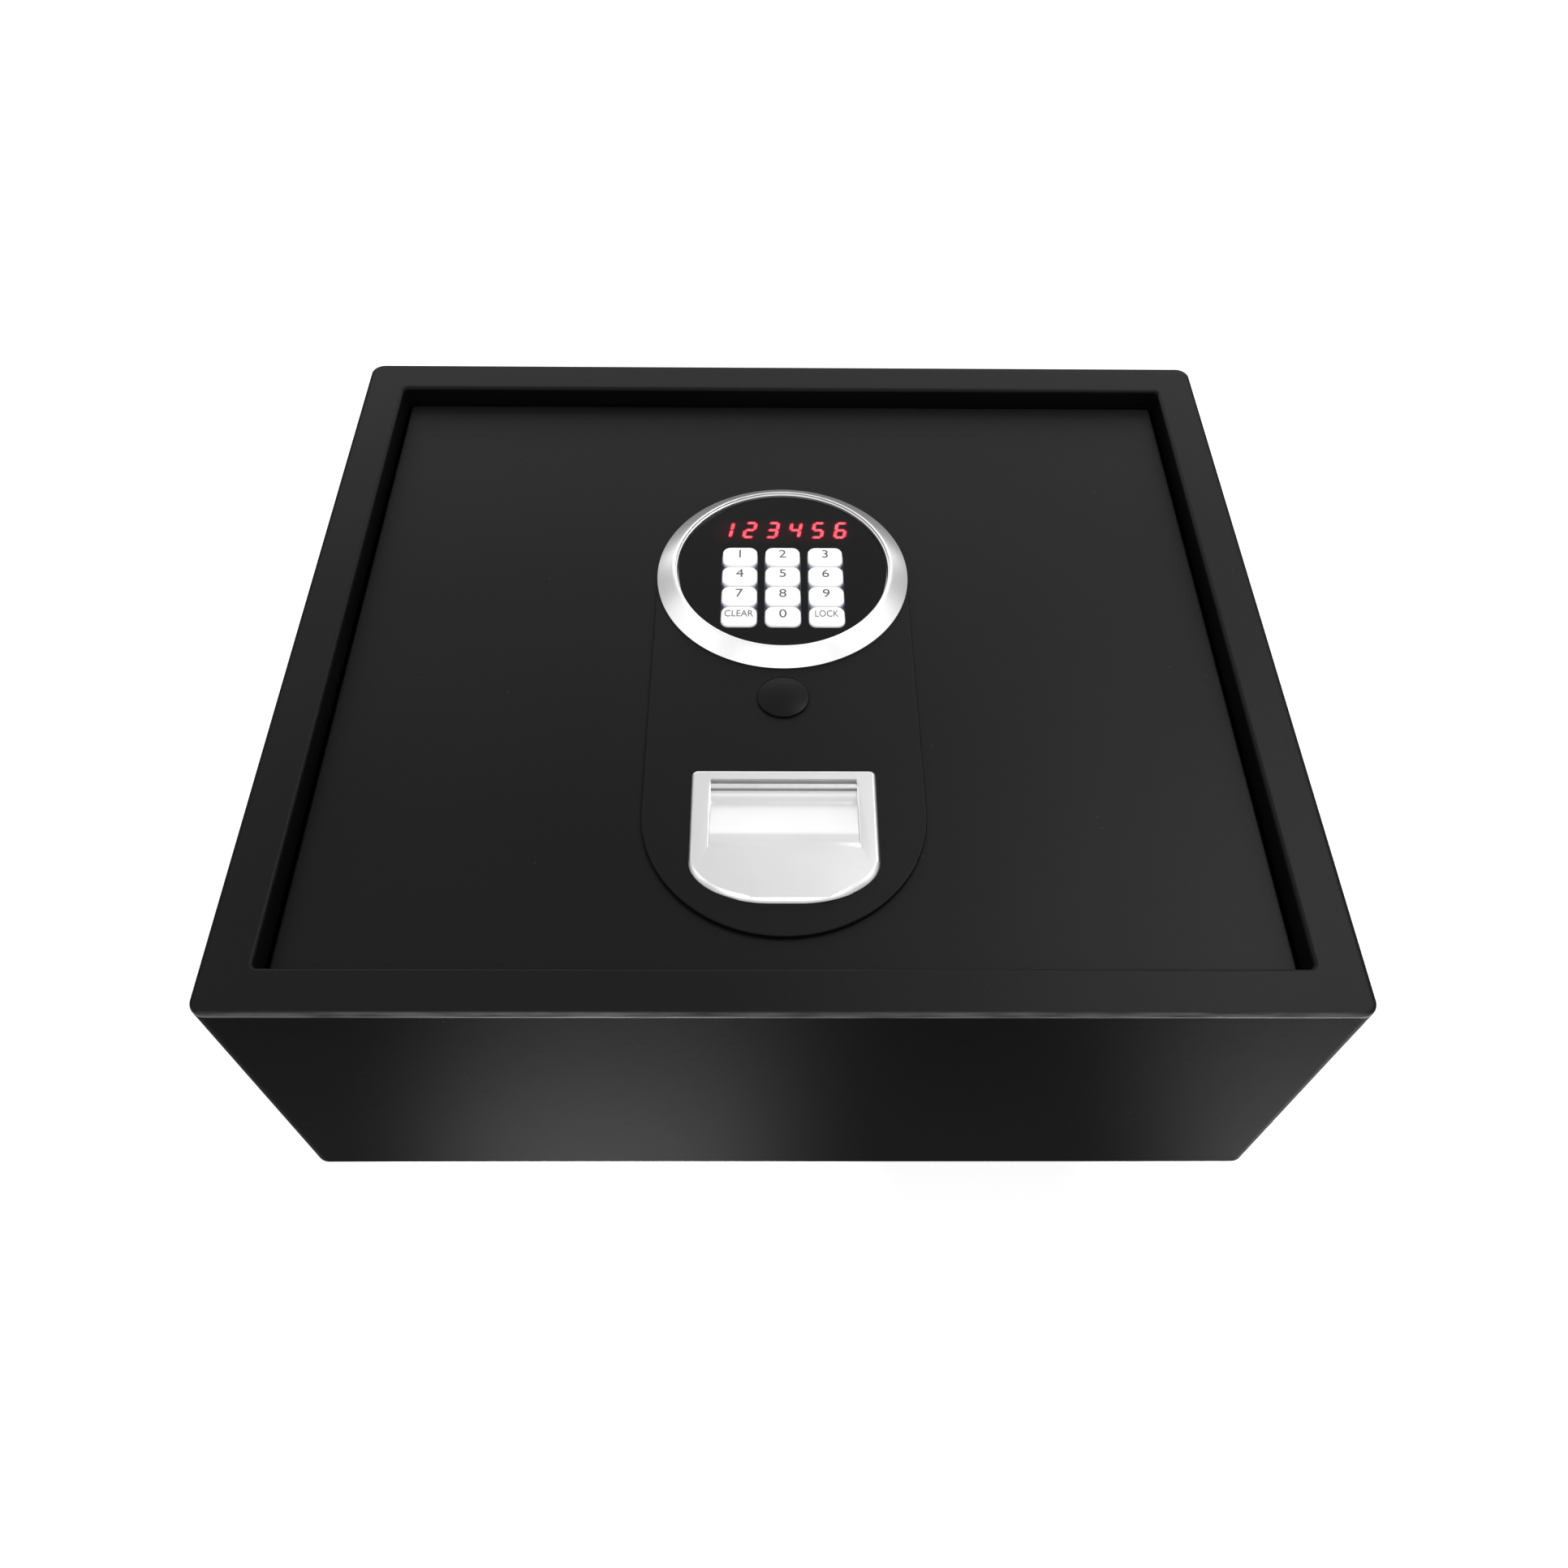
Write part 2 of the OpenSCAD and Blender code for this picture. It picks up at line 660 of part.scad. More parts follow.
// Finger pull: a D shaped plate over a cup, one casting. The scoop rolls off the plate at the
// front, sweeps down and runs back under a hooked edge.
scoop_slope = 52;
scoop_floor = pull_top - scoop_deep;
arcs_r = scoop_deep / (1 - cos(scoop_slope));
sweep_c = [scoop_front + arcs_r * sin(scoop_slope), scoop_floor + scoop_rear + scoop_hook
  - scoop_front - arcs_r * sin(scoop_slope)];
sweep_r = sweep_c[1] - scoop_floor;
roll_r = arcs_r - sweep_r;
roll_c = [scoop_front, pull_top - roll_r];
scoop_t = roll_c + (sweep_c - roll_c) * roll_r / arcs_r;

module scoop_profile() {
  hook_z = pull_top - pull_t;
  difference() {
    polygon([[scoop_front, pull_top], [scoop_front, pull_top + 2], [scoop_rear, pull_top + 2],
      [scoop_rear, sweep_c[1]], sweep_c, scoop_t]);
    translate(roll_c) circle(roll_r, $fn = 256);
  }
  translate(sweep_c) circle(sweep_r);
  translate(sweep_c) square([scoop_rear + scoop_hook - sweep_c[0], hook_z - sweep_c[1]]);
}

module finger_pull() {
  box = [-pull_w / 2, -pull_front, pull_w / 2, -pull_front + pull_l];
  radii = [18, 18, 2.5, 2.5];
  color("#cfcfd2") difference() {
    union() {
      slab(fascia_top, pull_top) outline(box, radii);
      slab(cup_z, fascia_top + 1) outline(cup_box, same(1.2));
      pull_boss_spots() rod(0, 0, lid_under + part_gap, fascia_top + 0.5, boss_d / 2);
    }
    translate([0, 0, pull_top]) along_edge(box, radii) round_over(1.4);
    side_slab(-scoop_w / 2, scoop_w / 2) scoop_profile();
    slab(pull_top - 1, pull_top + 1) difference() {
      outline([-scoop_w / 2 - 0.6, scoop_front, scoop_w / 2 + 0.6, scoop_rear + 0.6], [0.1, 0.1, 0.5, 0.5]);
      translate([-scoop_w / 2 + 0.1, scoop_front - 1]) square([scoop_w - 0.2, scoop_rear - scoop_front + 0.9]);
    }
    pull_boss_spots() rod(0, 0, lid_under - 1, fascia_top + 0.6, 1.5 + fine_gap);
  }
}

// Keypad

module keypad_lens() {
  color("#0c0c0e") difference() {
    rod(0, keypad_y, lens_z, lens_top, lens_r);
    for (col = [0 : 2]) key_slot(col);
  }
}

module key_slot(col) {
  top_key = key_at(col, 0);
  low_key = key_at(col, 3);
  slab(lens_z - 1, lens_top + 1)
    outline([top_key[0] - key_w / 2 - slot_gap, low_key[1] - key_l / 2 - slot_gap,
      top_key[0] + key_w / 2 + slot_gap, top_key[1] + key_l / 2 + slot_gap], same(key_r + slot_gap));
}

// Cup that carries the boards, screwed under the lid by three tabs
module keypad_housing() {
  color("#1a1a1a") difference() {
    union() {
      difference() {
        rod(0, keypad_y, housing_z, fascia_top - 0.1, housing_r);
        rod(0, keypad_y, housing_z + housing_t, fascia_top + 1, housing_r - housing_t);
      }
      housing_tab_spots() slab(lid_under - 3, lid_under) {
        circle(4);
        translate([-5, -4]) square([5, 8]);
      }
      for (a = [45 : 90 : 315]) translate([0, keypad_y, 0]) rotate(a)
        rod(board_r - 4, 0, housing_z + 1, board_top - board_t, 2.5);
    }
    housing_tab_spots() rod(0, 0, lid_under - 4, lid_under + 1, 1.6);
    slab(housing_z - 1, housing_z + housing_t + 1) outline(around(0, keypad_y + 28, 16, 2), same(0.5));
  }
}

// Silicone sheet with a dome under each key
module key_mat() {
  color("#d8d8d4") {
    slab(board_top, mat_top) intersection() {
      translate([0, keypad_y]) circle(board_r - 0.3);
      translate([-board_r, keypad_y - board_r]) square([2 * board_r, board_r + 12.8]);
    }
    for (col = [0 : 2], row = [0 : 3])
      translate([key_at(col, row)[0], key_at(col, row)[1], mat_top - 0.1])
        cylinder(h = dome_top - mat_top + 0.1, r1 = 3.6, r2 = 2.6);
  }
}

module keypad_board() {
  color("#1f5a34") {
    rod(0, keypad_y, board_top - board_t, board_top, board_r);
    slab(board_top - board_t - 1.4, board_top - board_t) {
      translate([-14, keypad_y - 8]) square([9, 9]);
      translate([8, keypad_y - 12]) square([7, 12]);
      translate([-4, keypad_y - 24]) square([10, 5]);
    }
  }
}

// Two blocks of three digits with their window frames
module display_module() {
  color("#3a0a0c") for (x = [-1.5 * digit_dx, 1.5 * digit_dx]) difference() {
    slab(board_top, lens_z - 0.2) outline(around(x, display_y, display_size[0], display_size[1]), same(0.6));
    for (i = [-1 : 1]) slab(lens_z - 0.7, lens_z + 1)
      outline(around(x + i * digit_dx, display_y, digit_dx - 1, display_size[1] - 1.2), same(0.5));
  }
}

// A key: a cap with a rounded top and two side ears that stop under the lens
module key_cap(col, row) {
  spot = key_at(col, row);
  box = around(spot[0], spot[1], key_w, key_l);
  color("#f4f4f2") difference() {
    union() {
      slab(key_z, lens_top + key_proud) outline(box, same(key_r));
      slab(lens_z - 1.2, lens_z - 0.1)
        outline(around(spot[0], spot[1], key_w + 2 * ear_out, 4.6), same(0.4));
    }
    translate([0, 0, lens_top + key_proud]) along_edge(box, same(key_r)) round_over(0.7);
  }
}

module key_1() { key_cap(0, 0); }
module key_2() { key_cap(1, 0); }
module key_3() { key_cap(2, 0); }
module key_4() { key_cap(0, 1); }
module key_5() { key_cap(1, 1); }
module key_6() { key_cap(2, 1); }
module key_7() { key_cap(0, 2); }
module key_8() { key_cap(1, 2); }
module key_9() { key_cap(2, 2); }
module key_clear() { key_cap(0, 3); }
module key_0() { key_cap(1, 3); }
module key_lock() { key_cap(2, 3); }

// Override lock

module override_barrel() {
  color("#a8a8aa") difference() {
    union() {
      rod(0, -lock_front, plate_top + 4.5, barrel_top, barrel_d / 2);
      slab(lid_under - 2.5, lid_under) outline(around(0, -lock_front, 2 * lock_screw_x + 7, barrel_d + 4), same(3));
    }
    rod(0, -lock_front, plate_top + 3, barrel_top + 1, core_r + fine_gap);
    both_sides() rod(lock_screw_x, -lock_front, lid_under - 3, lid_under + 1, 1.6);
  }
}

// Plug with the keyway, and a square tail below it
module override_core() {
  tail = 6;
  color("#c8b070") difference() {
    union() {
      rod(0, -lock_front, plate_top + 4.4, barrel_top - 0.2, core_r);
      slab(plate_top + 0.7, plate_top + 5) outline(around(0, -lock_front, tail, tail), same(0.4));
    }
    slab(barrel_top - 9, barrel_top + 1) outline(around(0, -lock_front, 1.8, 8), same(0.5));
  }
}

// Cam on the core's tail. Its pin hangs in the carriage's window.
module override_cam() {
  tail = 6;
  pin = [cam_reach * cos(45), -cam_reach * sin(45)];
  color("#8f8f92") translate([0, -lock_front, 0]) difference() {
    union() {
      slab(plate_top + 1.1, plate_top + 1.1 + cam_t) {
        circle(6.2);
        rotate(-45) translate([0, -3]) square([cam_reach, 6]);
        translate(pin) circle(3.6);
      }
      rod(pin[0], pin[1], plate_z - 1, plate_top + 1.2, cam_pin_r);
    }
    slab(plate_top, plate_top + 5) outline(around(0, 0, tail + 0.1, tail + 0.1), same(0.45));
  }
}

// Cap with a skirt that plugs into the fascia
module keyhole_cap() {
  dome = 1.2;
  dome_r = (pow(cap_d / 2, 2) + dome * dome) / (2 * dome);
  rim_t = 0.8;
  color("#1c1c1c") translate([0, -lock_front, fascia_top]) {
    rotate_extrude() {
      square([cap_d / 2, rim_t]);
      intersection() {
        square([cap_d / 2, rim_t + dome]);
        translate([0, rim_t + dome - dome_r]) circle(dome_r, $fn = 256);
      }
      translate([cap_skirt_r - 1.2, -3]) square([1.2, 3.4]);
    }
  }
}

// Bolts and drive

// Front face that guides the bolts, and a plate welded under the lid
module lock_chassis() {
  half = plate_half + 6;
  color("#8c8f92") difference() {
    union() {
      slab(chassis_z, lid_under) outline([-half, chassis_front, half, chassis_rear], same(1));
      slab(plate_z - 3.5, chassis_z + 1) outline([-half, chassis_front, half, chassis_front + chassis_t], same(0.5));
    }
    pull_hole(chassis_z - 1, lid_under + 1);
    boss_spots() rod(0, 0, chassis_z - 1, lid_under + 1, 4.3);
    slab(chassis_z - 1, lid_under + 1)
      outline(around(0, -lock_front, 2 * lock_screw_x + 9, barrel_d + 6), same(2));
    both_sides() rod_y(bolt_x, chassis_front - 1, chassis_front + chassis_t + 1, bolt_z, bush_r + fine_gap);
    clamp_screw_spots() rod(0, 0, chassis_z - 1, lid_under + 1, 1.5 + fine_gap);
  }
}

module bolt_bushings() {
  color("#e6e2d6") both_sides() difference() {
    union() {
      rod_y(bolt_x, chassis_front - 1, chassis_front + chassis_t + 5, bolt_z, bush_r);
      rod_y(bolt_x, chassis_front + chassis_t + 0.1, chassis_front + chassis_t + 2, bolt_z, bush_r + bush_collar);
    }
    rod_y(bolt_x, chassis_front - 2, chassis_front + chassis_t + 6, bolt_z, bolt_d / 2 + fine_gap);
  }
}

// Shouldered posts that the carriage slides on
module guide_posts() {
  color("#b4b4b8") for (spot = post_spots) difference() {
    union() {
      rod(spot[0], spot[1], plate_top + slide_gap, chassis_z, post_head_r - 0.8);
      rod(spot[0], spot[1], plate_z - slide_gap, plate_top + 1, post_r);
      rod(spot[0], spot[1], plate_z - slide_gap - 2, plate_z - slide_gap, post_head_r);
    }
    rod(spot[0], spot[1], plate_z - 4, plate_z - slide_gap - 0.8, 2.2, $fn = 6);
  }
}

module bolt_carriage() {
  neck = post_r + slide_gap;
  cam_y = bolt_throw / 2;
  color("#9a9da0") difference() {
    union() {
      slab(plate_z, plate_top) difference() {
        outline([-plate_half, bolt_tail, plate_half, plate_rear], same(3));
        outline([-plate_half + 26, bolt_tail - 5, plate_half - 26, bolt_tail + 8], [0.1, 0.1, 6, 6]);
      }
      both_sides() translate([bolt_x, tab_y, 0]) rotate([90, 0, 0]) linear_extrude(plate_t) {
        translate([0, bolt_z]) circle(bush_r);
        translate([-bush_r, plate_z + 1]) square([2 * bush_r, bolt_z - plate_z - 1]);
      }
    }
    for (spot = post_spots) slab(plate_z - 1, plate_top + 1)
      outline([spot[0] - neck, spot[1] - neck, spot[0] + neck, spot[1] + neck + bolt_throw], same(neck - 0.01));
    slab(plate_z - 1, plate_top + 1)
      outline([cam_y - cam_pin_r - part_gap, -lock_front - cam_y - cam_pin_r - part_gap,
        cam_reach + cam_pin_r + part_gap, -lock_front + cam_y + cam_pin_r + part_gap], same(2));
    both_sides() rod_y(bolt_x, bolt_tail - 1, tab_y + 1, bolt_z, 3 + fine_gap);
    both_sides() slab(plate_z - 1, plate_top + 1) outline(around(bolt_x - 6, drive_y - 6, 16, 26), same(5));
  }
}

module locking_bolts() {
  color("#c9cbce") both_sides() difference() {
    union() {
      rod_y(bolt_x, bolt_tip + 1, bolt_tail, bolt_z, bolt_d / 2);
      translate([bolt_x, bolt_tip + 1, bolt_z]) rotate([90, 0, 0]) cylinder(h = 1, r1 = bolt_d / 2, r2 = bolt_d / 2 - 1);
    }
    rod_y(bolt_x, bolt_tail - 14, bolt_tail + 1, bolt_z, 3 + fine_gap);
  }
}

module bolt_screws() {
  color("#3c3c40") both_sides() difference() {
    union() {
      rod_y(bolt_x, bolt_tail - 12, tab_y + 1, bolt_z, 3);
      rod_y(bolt_x, tab_y, tab_y + 3.3, bolt_z, 5.2);
    }
    rod_y(bolt_x, tab_y + 1.3, tab_y + 5, bolt_z, 2.3, $fn = 6);
  }
}

// Involute pinion and straight rack of the same module
pressure = 20;
addendum = gear_module;
dedendum = 1.25 * gear_module;
tooth_slack = 0.12;
base_r = pitch_r * cos(pressure);
function involute(r) = sqrt(pow(r / base_r, 2) - 1) * 180 / PI - acos(base_r / r);
function flank_angle(r) = 90 / pinion_teeth - tooth_slack / 2 / pitch_r * 180 / PI
  + involute(pitch_r) - involute(max(r, base_r));
function at_angle(r, a) = [r * cos(a), r * sin(a)];
flank_steps = 4;

module pinion_outline() {
  low_r = pitch_r - dedendum;
  high_r = pitch_r + addendum;
  start_r = max(base_r, low_r) + 0.01;
  radii = [for (i = [0 : flank_steps]) start_r + (high_r - start_r) * i / flank_steps];
  polygon([for (tooth = [0 : pinion_teeth - 1]) let (mid = tooth * 360 / pinion_teeth)
    for (p = concat(
      [at_angle(low_r, mid - flank_angle(start_r))],
      [for (r = radii) at_angle(r, mid - flank_angle(r))],
      [for (i = [0 : flank_steps]) let (r = radii[flank_steps - i]) at_angle(r, mid + flank_angle(r))],
      [at_angle(low_r, mid + flank_angle(start_r))])) p]);
}

module drive_pinion() {
  turn = 180 / pinion_teeth;
  color("#d9c9a0") translate([gear_x, drive_y, drive_z]) rotate([0, 90, 0]) difference() {
    union() {
      rotate(turn) linear_extrude(gear_w) pinion_outline();
      translate([0, 0, -3]) cylinder(h = 3.5, r = pitch_r - dedendum - 1);
    }
    translate([0, 0, -4]) linear_extrude(gear_w + 8) difference() {
      circle(shaft_r + 0.02);
      translate([shaft_r - 0.5, -shaft_r]) square([1, 2 * shaft_r]);
    }
  }
}

module output_shaft() {
  color("#b0b0b4") translate([motor_x - 1.5, drive_y, drive_z]) rotate([0, 90, 0]) difference() {
    cylinder(h = gear_x + gear_w + 0.5 - motor_x + 1.5, r = shaft_r);
    translate([shaft_r - 0.5 - 0.03, -shaft_r, 3]) cube([1, 2 * shaft_r, 60]);
  }
}

module drive_rack() {
  pitch = PI * gear_module;
  teeth = ceil(bolt_throw / pitch) + 5;
  root = rack_pitch_z - dedendum;
  half_root = pitch / 4 - tooth_slack / 4 + dedendum * tan(pressure);
  half_tip = pitch / 4 - tooth_slack / 4 - addendum * tan(pressure);
  first = drive_y - 2 * pitch;
  last = first + (teeth - 1) * pitch;
  profile = concat([[last + pitch / 2, plate_top], [first - pitch / 2, plate_top], [first - pitch / 2, root]],
    [for (i = [0 : teeth - 1]) for (p = [[-half_root, root], [-half_tip, rack_pitch_z + addendum],
      [half_tip, rack_pitch_z + addendum], [half_root, root]]) [first + i * pitch + p[0], p[1]]],
    [[last + pitch / 2, root]]);
  color("#d9c9a0") side_slab(gear_x, gear_x + gear_w) polygon(profile);
}

module gear_motor() {
  color("#b9bbbd") {
    translate([motor_x - gearbox[0], drive_y - gearbox[1] / 2, drive_z - gearbox[2] / 2]) difference() {
      cube(gearbox);
      translate([gearbox[0] - 2, gearbox[1] / 2, gearbox[2] / 2]) rotate([0, 90, 0]) cylinder(h = 3, r = shaft_r + fine_gap);
    }
    intersection() {
      rod_x(motor_x - gearbox[0] - 15, motor_x - gearbox[0], drive_y, drive_z, gearbox[1] / 2);
      translate([-40, drive_y - 10, drive_z - gearbox[2] / 2]) cube([60, 20, gearbox[2]]);
    }
    rod_x(motor_x - gearbox[0] - 16.2, motor_x - gearbox[0] - 15, drive_y, drive_z, 2.5);
  }
}

clamp_screw_dy = gearbox[1] / 2 + 4.6;

module clamp_screw_spots() {
  for (side = [-1, 1]) translate([motor_x - gearbox[0] / 2, drive_y + side * clamp_screw_dy, 0]) children();
}

// Saddle that holds the gearbox under the chassis
module motor_clamp() {
  wall = 1.4;
  mid_x = motor_x - gearbox[0] / 2;
  color("#202022") difference() {
    union() {
      slab(drive_z - gearbox[2] / 2 - wall, chassis_z)
        outline(around(mid_x, drive_y, 7.6, gearbox[1] + 2 * wall), same(0.5));
      slab(chassis_z - 2, chassis_z) outline(around(mid_x, drive_y, 7.6, 2 * clamp_screw_dy + 6.4), same(3));
    }
    translate([mid_x - 10, drive_y - gearbox[1] / 2 - fine_gap, drive_z - gearbox[2] / 2 - fine_gap])
      cube([20, gearbox[1] + 2 * fine_gap, gearbox[2] + 2 * fine_gap]);
    clamp_screw_spots() rod(0, 0, chassis_z - 3, chassis_z + 1, 1.6);
  }
}

// Cover, batteries and reset

module lock_cover() {
  color("#1e1e1e") difference() {
    union() {
      slab(cover_z, lid_under) outline(cover_box, same(4));
      slab(lid_under - cover_t, lid_under)
        outline([cover_box[0] - 9, cover_box[1] + 12, cover_box[2] + 9, cover_box[3] - 12], same(3));
    }
    slab(cover_floor, lid_under + 1) outline(grown(cover_box, -cover_t), same(4 - cover_t));
    translate([0, 0, cover_z]) mirror([0, 0, 1]) along_edge(cover_box, same(4)) round_over(1);
    slab(cover_z - 1, cover_floor + 1) outline(grown(case_box, part_gap), same(2));
    both_sides() rod_y(bolt_x, cover_box[1] - 1, cover_box[1] + cover_t + 1, bolt_z, bush_r + 0.6);
    rod(reset_x, reset_y, cover_z - 1, cover_floor + 1, 2.5 + 0.2);
    both_sides() for (y = cover_screw_rows) rod(cover_screw_x, y, lid_under - 3, lid_under + 1, 2.2);
  }
}

module cover_screws() {
  color("#3a3a3c") both_sides() for (y = cover_screw_rows)
    screw_up(cover_screw_x, y, lid_under - cover_t - 0.02, cover_t + lid_t - 1.6, 2);
}

// Open tray for four cells, with ears for the door's pins and a shelf for the reset switch
module battery_case() {
  color("#222224") difference() {
    union() {
      slab(cover_z, case_top) outline(case_box, same(1.7));
      slab(reset_top + 3.7, reset_top + 5.2)
        outline([case_box[2] - 1, reset_y - 5, reset_x + 4, reset_y + 5], [0.3, 2, 2, 0.3]);
      both_sides() for (y = [case_y - 24, case_y + 24]) rod(case_in_w / 2 - 3, y, case_top - 1, control_z, 2.6);
    }
    slab(cover_z - 1, case_top - case_t) outline(grown(case_box, -case_t), same(0.3));
    rod_x(-case_in_w / 2 - case_t - 1, case_in_w / 2 + case_t + 1, door_axis_y, door_axis_z, door_pin_r + fine_gap);
    both_sides() for (y = [case_y - 24, case_y + 24])
      rod(case_in_w / 2 - 3, y, case_top + 0.3, control_z + 1, 1.5 + fine_gap);
  }
  color("#222224") for (x = [-cell_dx, 0, cell_dx])
    slab(cell_z + 4.4, case_top - case_t) translate([x - 0.5, case_y - 18]) square([1, 36]);
}

module battery_cells() {
  color("#3f6f86") for (i = [0 : 3]) {
    x = (i - 1.5) * cell_dx;
    up = i % 2 == 0 ? 1 : -1;
    rod_y(x, case_y - cell_l / 2 + (up > 0 ? 0 : 1), case_y + cell_l / 2 - (up > 0 ? 1 : 0), cell_z, cell_d / 2);
    rod_y(x, case_y + (up > 0 ? cell_l / 2 - 1.2 : -cell_l / 2), case_y + (up > 0 ? cell_l / 2 : 1.2 - cell_l / 2),
      cell_z, 2.7);
  }
}

// A flat contact at each positive end, and a cone at each negative end
module battery_contacts() {
  end = case_in_l / 2;
  room = end - cell_l / 2;
  color("#c9cbcd") for (i = [0 : 3], side = [-1, 1]) {
    x = (i - 1.5) * cell_dx;
    plus = (i % 2 == 0 ? 1 : -1) == side;
    y = case_y + side * (end - 0.1);
    translate([x, y, cell_z]) rotate([side > 0 ? 90 : -90, 0, 0]) {
      translate([-5, -5, 0]) cube([10, 10, 0.5]);
      if (plus) cylinder(h = room - 0.3, r1 = 3, r2 = 2.2);
      else cylinder(h = room - 0.3, r1 = 4.8, r2 = 2.6);
    }
  }
}

// Door of the battery tray: a panel on a round edge with two pins, and a latch tongue
module battery_door() {
  side = case_in_w / 2 - part_gap;
  front = case_y - case_in_l / 2 + part_gap;
  color("#242426") difference() {
    union() {
      slab(cover_z, cover_z + door_t) outline([-side, front, side, door_axis_y], [1, 1, 0.3, 0.3]);
      rod_x(-side, side, door_axis_y, door_axis_z, 1.5);
      rod_x(-case_in_w / 2 - case_t + 0.2, case_in_w / 2 + case_t - 0.2, door_axis_y, door_axis_z, door_pin_r);
      slab(cover_z + 0.5, cover_z + 1.9) outline([-7, front, 7, front + 1.2], same(0.3));
    }
    slab(cover_z - 1, cover_z + 0.5) outline(around(0, front + 6, 18, 5), same(2.4));
  }
}

module control_board() {
  color("#1f5a34") {
    slab(control_z, control_z + control_t) difference() {
      outline(around(0, case_y, case_in_w + 8, 58), same(2));
      for (x = [3 - case_in_w / 2, case_in_w / 2 - 3], y = [case_y - 24, case_y + 24]) translate([x, y]) circle(1.7);
    }
    slab(control_z + control_t, control_z + control_t + 2.2) {
      translate([-20, case_y - 14]) square([14, 14]);
      translate([6, case_y - 20]) square([12, 8]);
      translate([-24, case_y + 6]) square([8, 5]);
      translate([10, case_y + 2]) square([16, 6]);
    }
  }
}

module reset_switch() {
  color("#2a2a2c") slab(reset_top + 1.3, reset_top + 3.7) outline(around(reset_x, reset_y, 6.2, 6.2), same(0.3));
}

module reset_button() {
  color("#b02020") {
    rod(reset_x, reset_y, cover_z - 0.8, reset_top + 0.2, 2.5);
    rod(reset_x, reset_y, cover_floor + 0.2, cover_floor + 1.2, 3.6);
  }
}

module ribbon_cable() {
  color("#9aa0a8") slab(control_z + control_t, board_top - board_t)
    outline(around(0, keypad_y + 28, 13, 0.8), same(0.2));
}

// Small screws under the lid, all of one size
module machine_screws() {
  color("#c0c0c4") {
    boss_spots() difference() {
      union() {
        rod(0, 0, lid_under - 2.2, lid_under - 0.02, 3.8);
        rod(0, 0, lid_under - 0.1, lid_top, 1.5);
      }
      rod(0, 0, lid_under - 3, lid_under - 1, 1.4, $fn = 6);
    }
    housing_tab_spots() screw_up(0, 0, lid_under - 3.02, 5.5, 1.5);
    both_sides() screw_up(lock_screw_x, -lock_front, lid_under - 2.52, 5, 1.5);
    clamp_screw_spots() screw_up(0, 0, chassis_z - 2.02, 3.6, 1.5);
    both_sides() for (y = [case_y - 24, case_y + 24])
      translate([case_in_w / 2 - 3, y, 0]) mirror([0, 0, 1]) screw_up(0, 0, -control_z - control_t - 0.02, 3.8, 1.5);
  }
}

body_shell();
base_plate();
top_frame();
strike_bracket();
rest_brackets();
lid_buffers();
hinge_brackets();
hinge_pins();
hinge_clips();
hinge_springs();
floor_mat();
lid_plate();
hinge_lugs();
fascia_plate();
bezel_ring();
finger_pull();
keypad_lens();
keypad_housing();
key_mat();
keypad_board();
display_module();
override_barrel();
machine_screws();
lock_chassis();
bolt_bushings();
guide_posts();
gear_motor();
motor_clamp();
control_board();
battery_case();
battery_cells();
battery_contacts();
lock_cover();
cover_screws();
reset_switch();
ribbon_cable();
key_1();
key_2();
key_3();
key_4();
key_5();
key_6();
key_7();
key_8();
key_9();
key_clear();
key_0();
key_lock();
keyhole_cap();
override_core();
override_cam();
bolt_carriage();
locking_bolts();
bolt_screws();
drive_rack();
drive_pinion();
output_shaft();
battery_door();
reset_button();
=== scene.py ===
import json
from functools import partialmethod
from math import acos, asin, atan2, copysign, cos, degrees, hypot, pi, radians, sin, sqrt, tan

import bmesh
import bpy
from mathutils import Matrix, Vector
from mathutils.geometry import delaunay_2d_cdt


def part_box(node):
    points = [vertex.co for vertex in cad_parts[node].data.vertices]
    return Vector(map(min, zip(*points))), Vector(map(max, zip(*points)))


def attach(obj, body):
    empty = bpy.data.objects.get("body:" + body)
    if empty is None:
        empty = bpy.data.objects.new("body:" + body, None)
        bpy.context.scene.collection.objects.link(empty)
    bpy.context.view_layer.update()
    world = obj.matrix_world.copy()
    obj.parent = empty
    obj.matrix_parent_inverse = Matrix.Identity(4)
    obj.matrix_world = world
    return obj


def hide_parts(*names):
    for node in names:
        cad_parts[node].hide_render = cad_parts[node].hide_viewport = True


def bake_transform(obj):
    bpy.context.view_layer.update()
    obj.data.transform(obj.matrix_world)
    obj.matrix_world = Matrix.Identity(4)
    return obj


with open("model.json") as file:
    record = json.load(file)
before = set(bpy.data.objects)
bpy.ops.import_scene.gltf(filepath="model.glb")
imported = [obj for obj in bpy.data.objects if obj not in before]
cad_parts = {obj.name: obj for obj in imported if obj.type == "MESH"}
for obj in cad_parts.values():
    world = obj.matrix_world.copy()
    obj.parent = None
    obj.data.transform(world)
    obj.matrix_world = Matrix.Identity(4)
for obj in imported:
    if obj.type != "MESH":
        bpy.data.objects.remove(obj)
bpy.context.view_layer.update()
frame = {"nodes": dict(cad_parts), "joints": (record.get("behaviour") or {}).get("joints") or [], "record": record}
record = frame["record"]
bodyOf = {node: body for body, nodes in record["behaviour"]["bodies"].items() for node in nodes}
slotOf = {part["node"]: part["material_slot"] for part in record["subparts"]}
mm = 0.001


# Camera, floor and studio light

cameraView = {
    "imageSize": 1932,
    "focalPixels": 1525.08,
    "centre": (960.9, 1026.1),         # where the camera's axis meets the image, in pixels
    "place": (-0.00555, -0.35517, 0.52154),
    "pitch": 56.030,                   # degrees below the horizon
    "yaw": 0.882,
    "roll": 0.838,
}

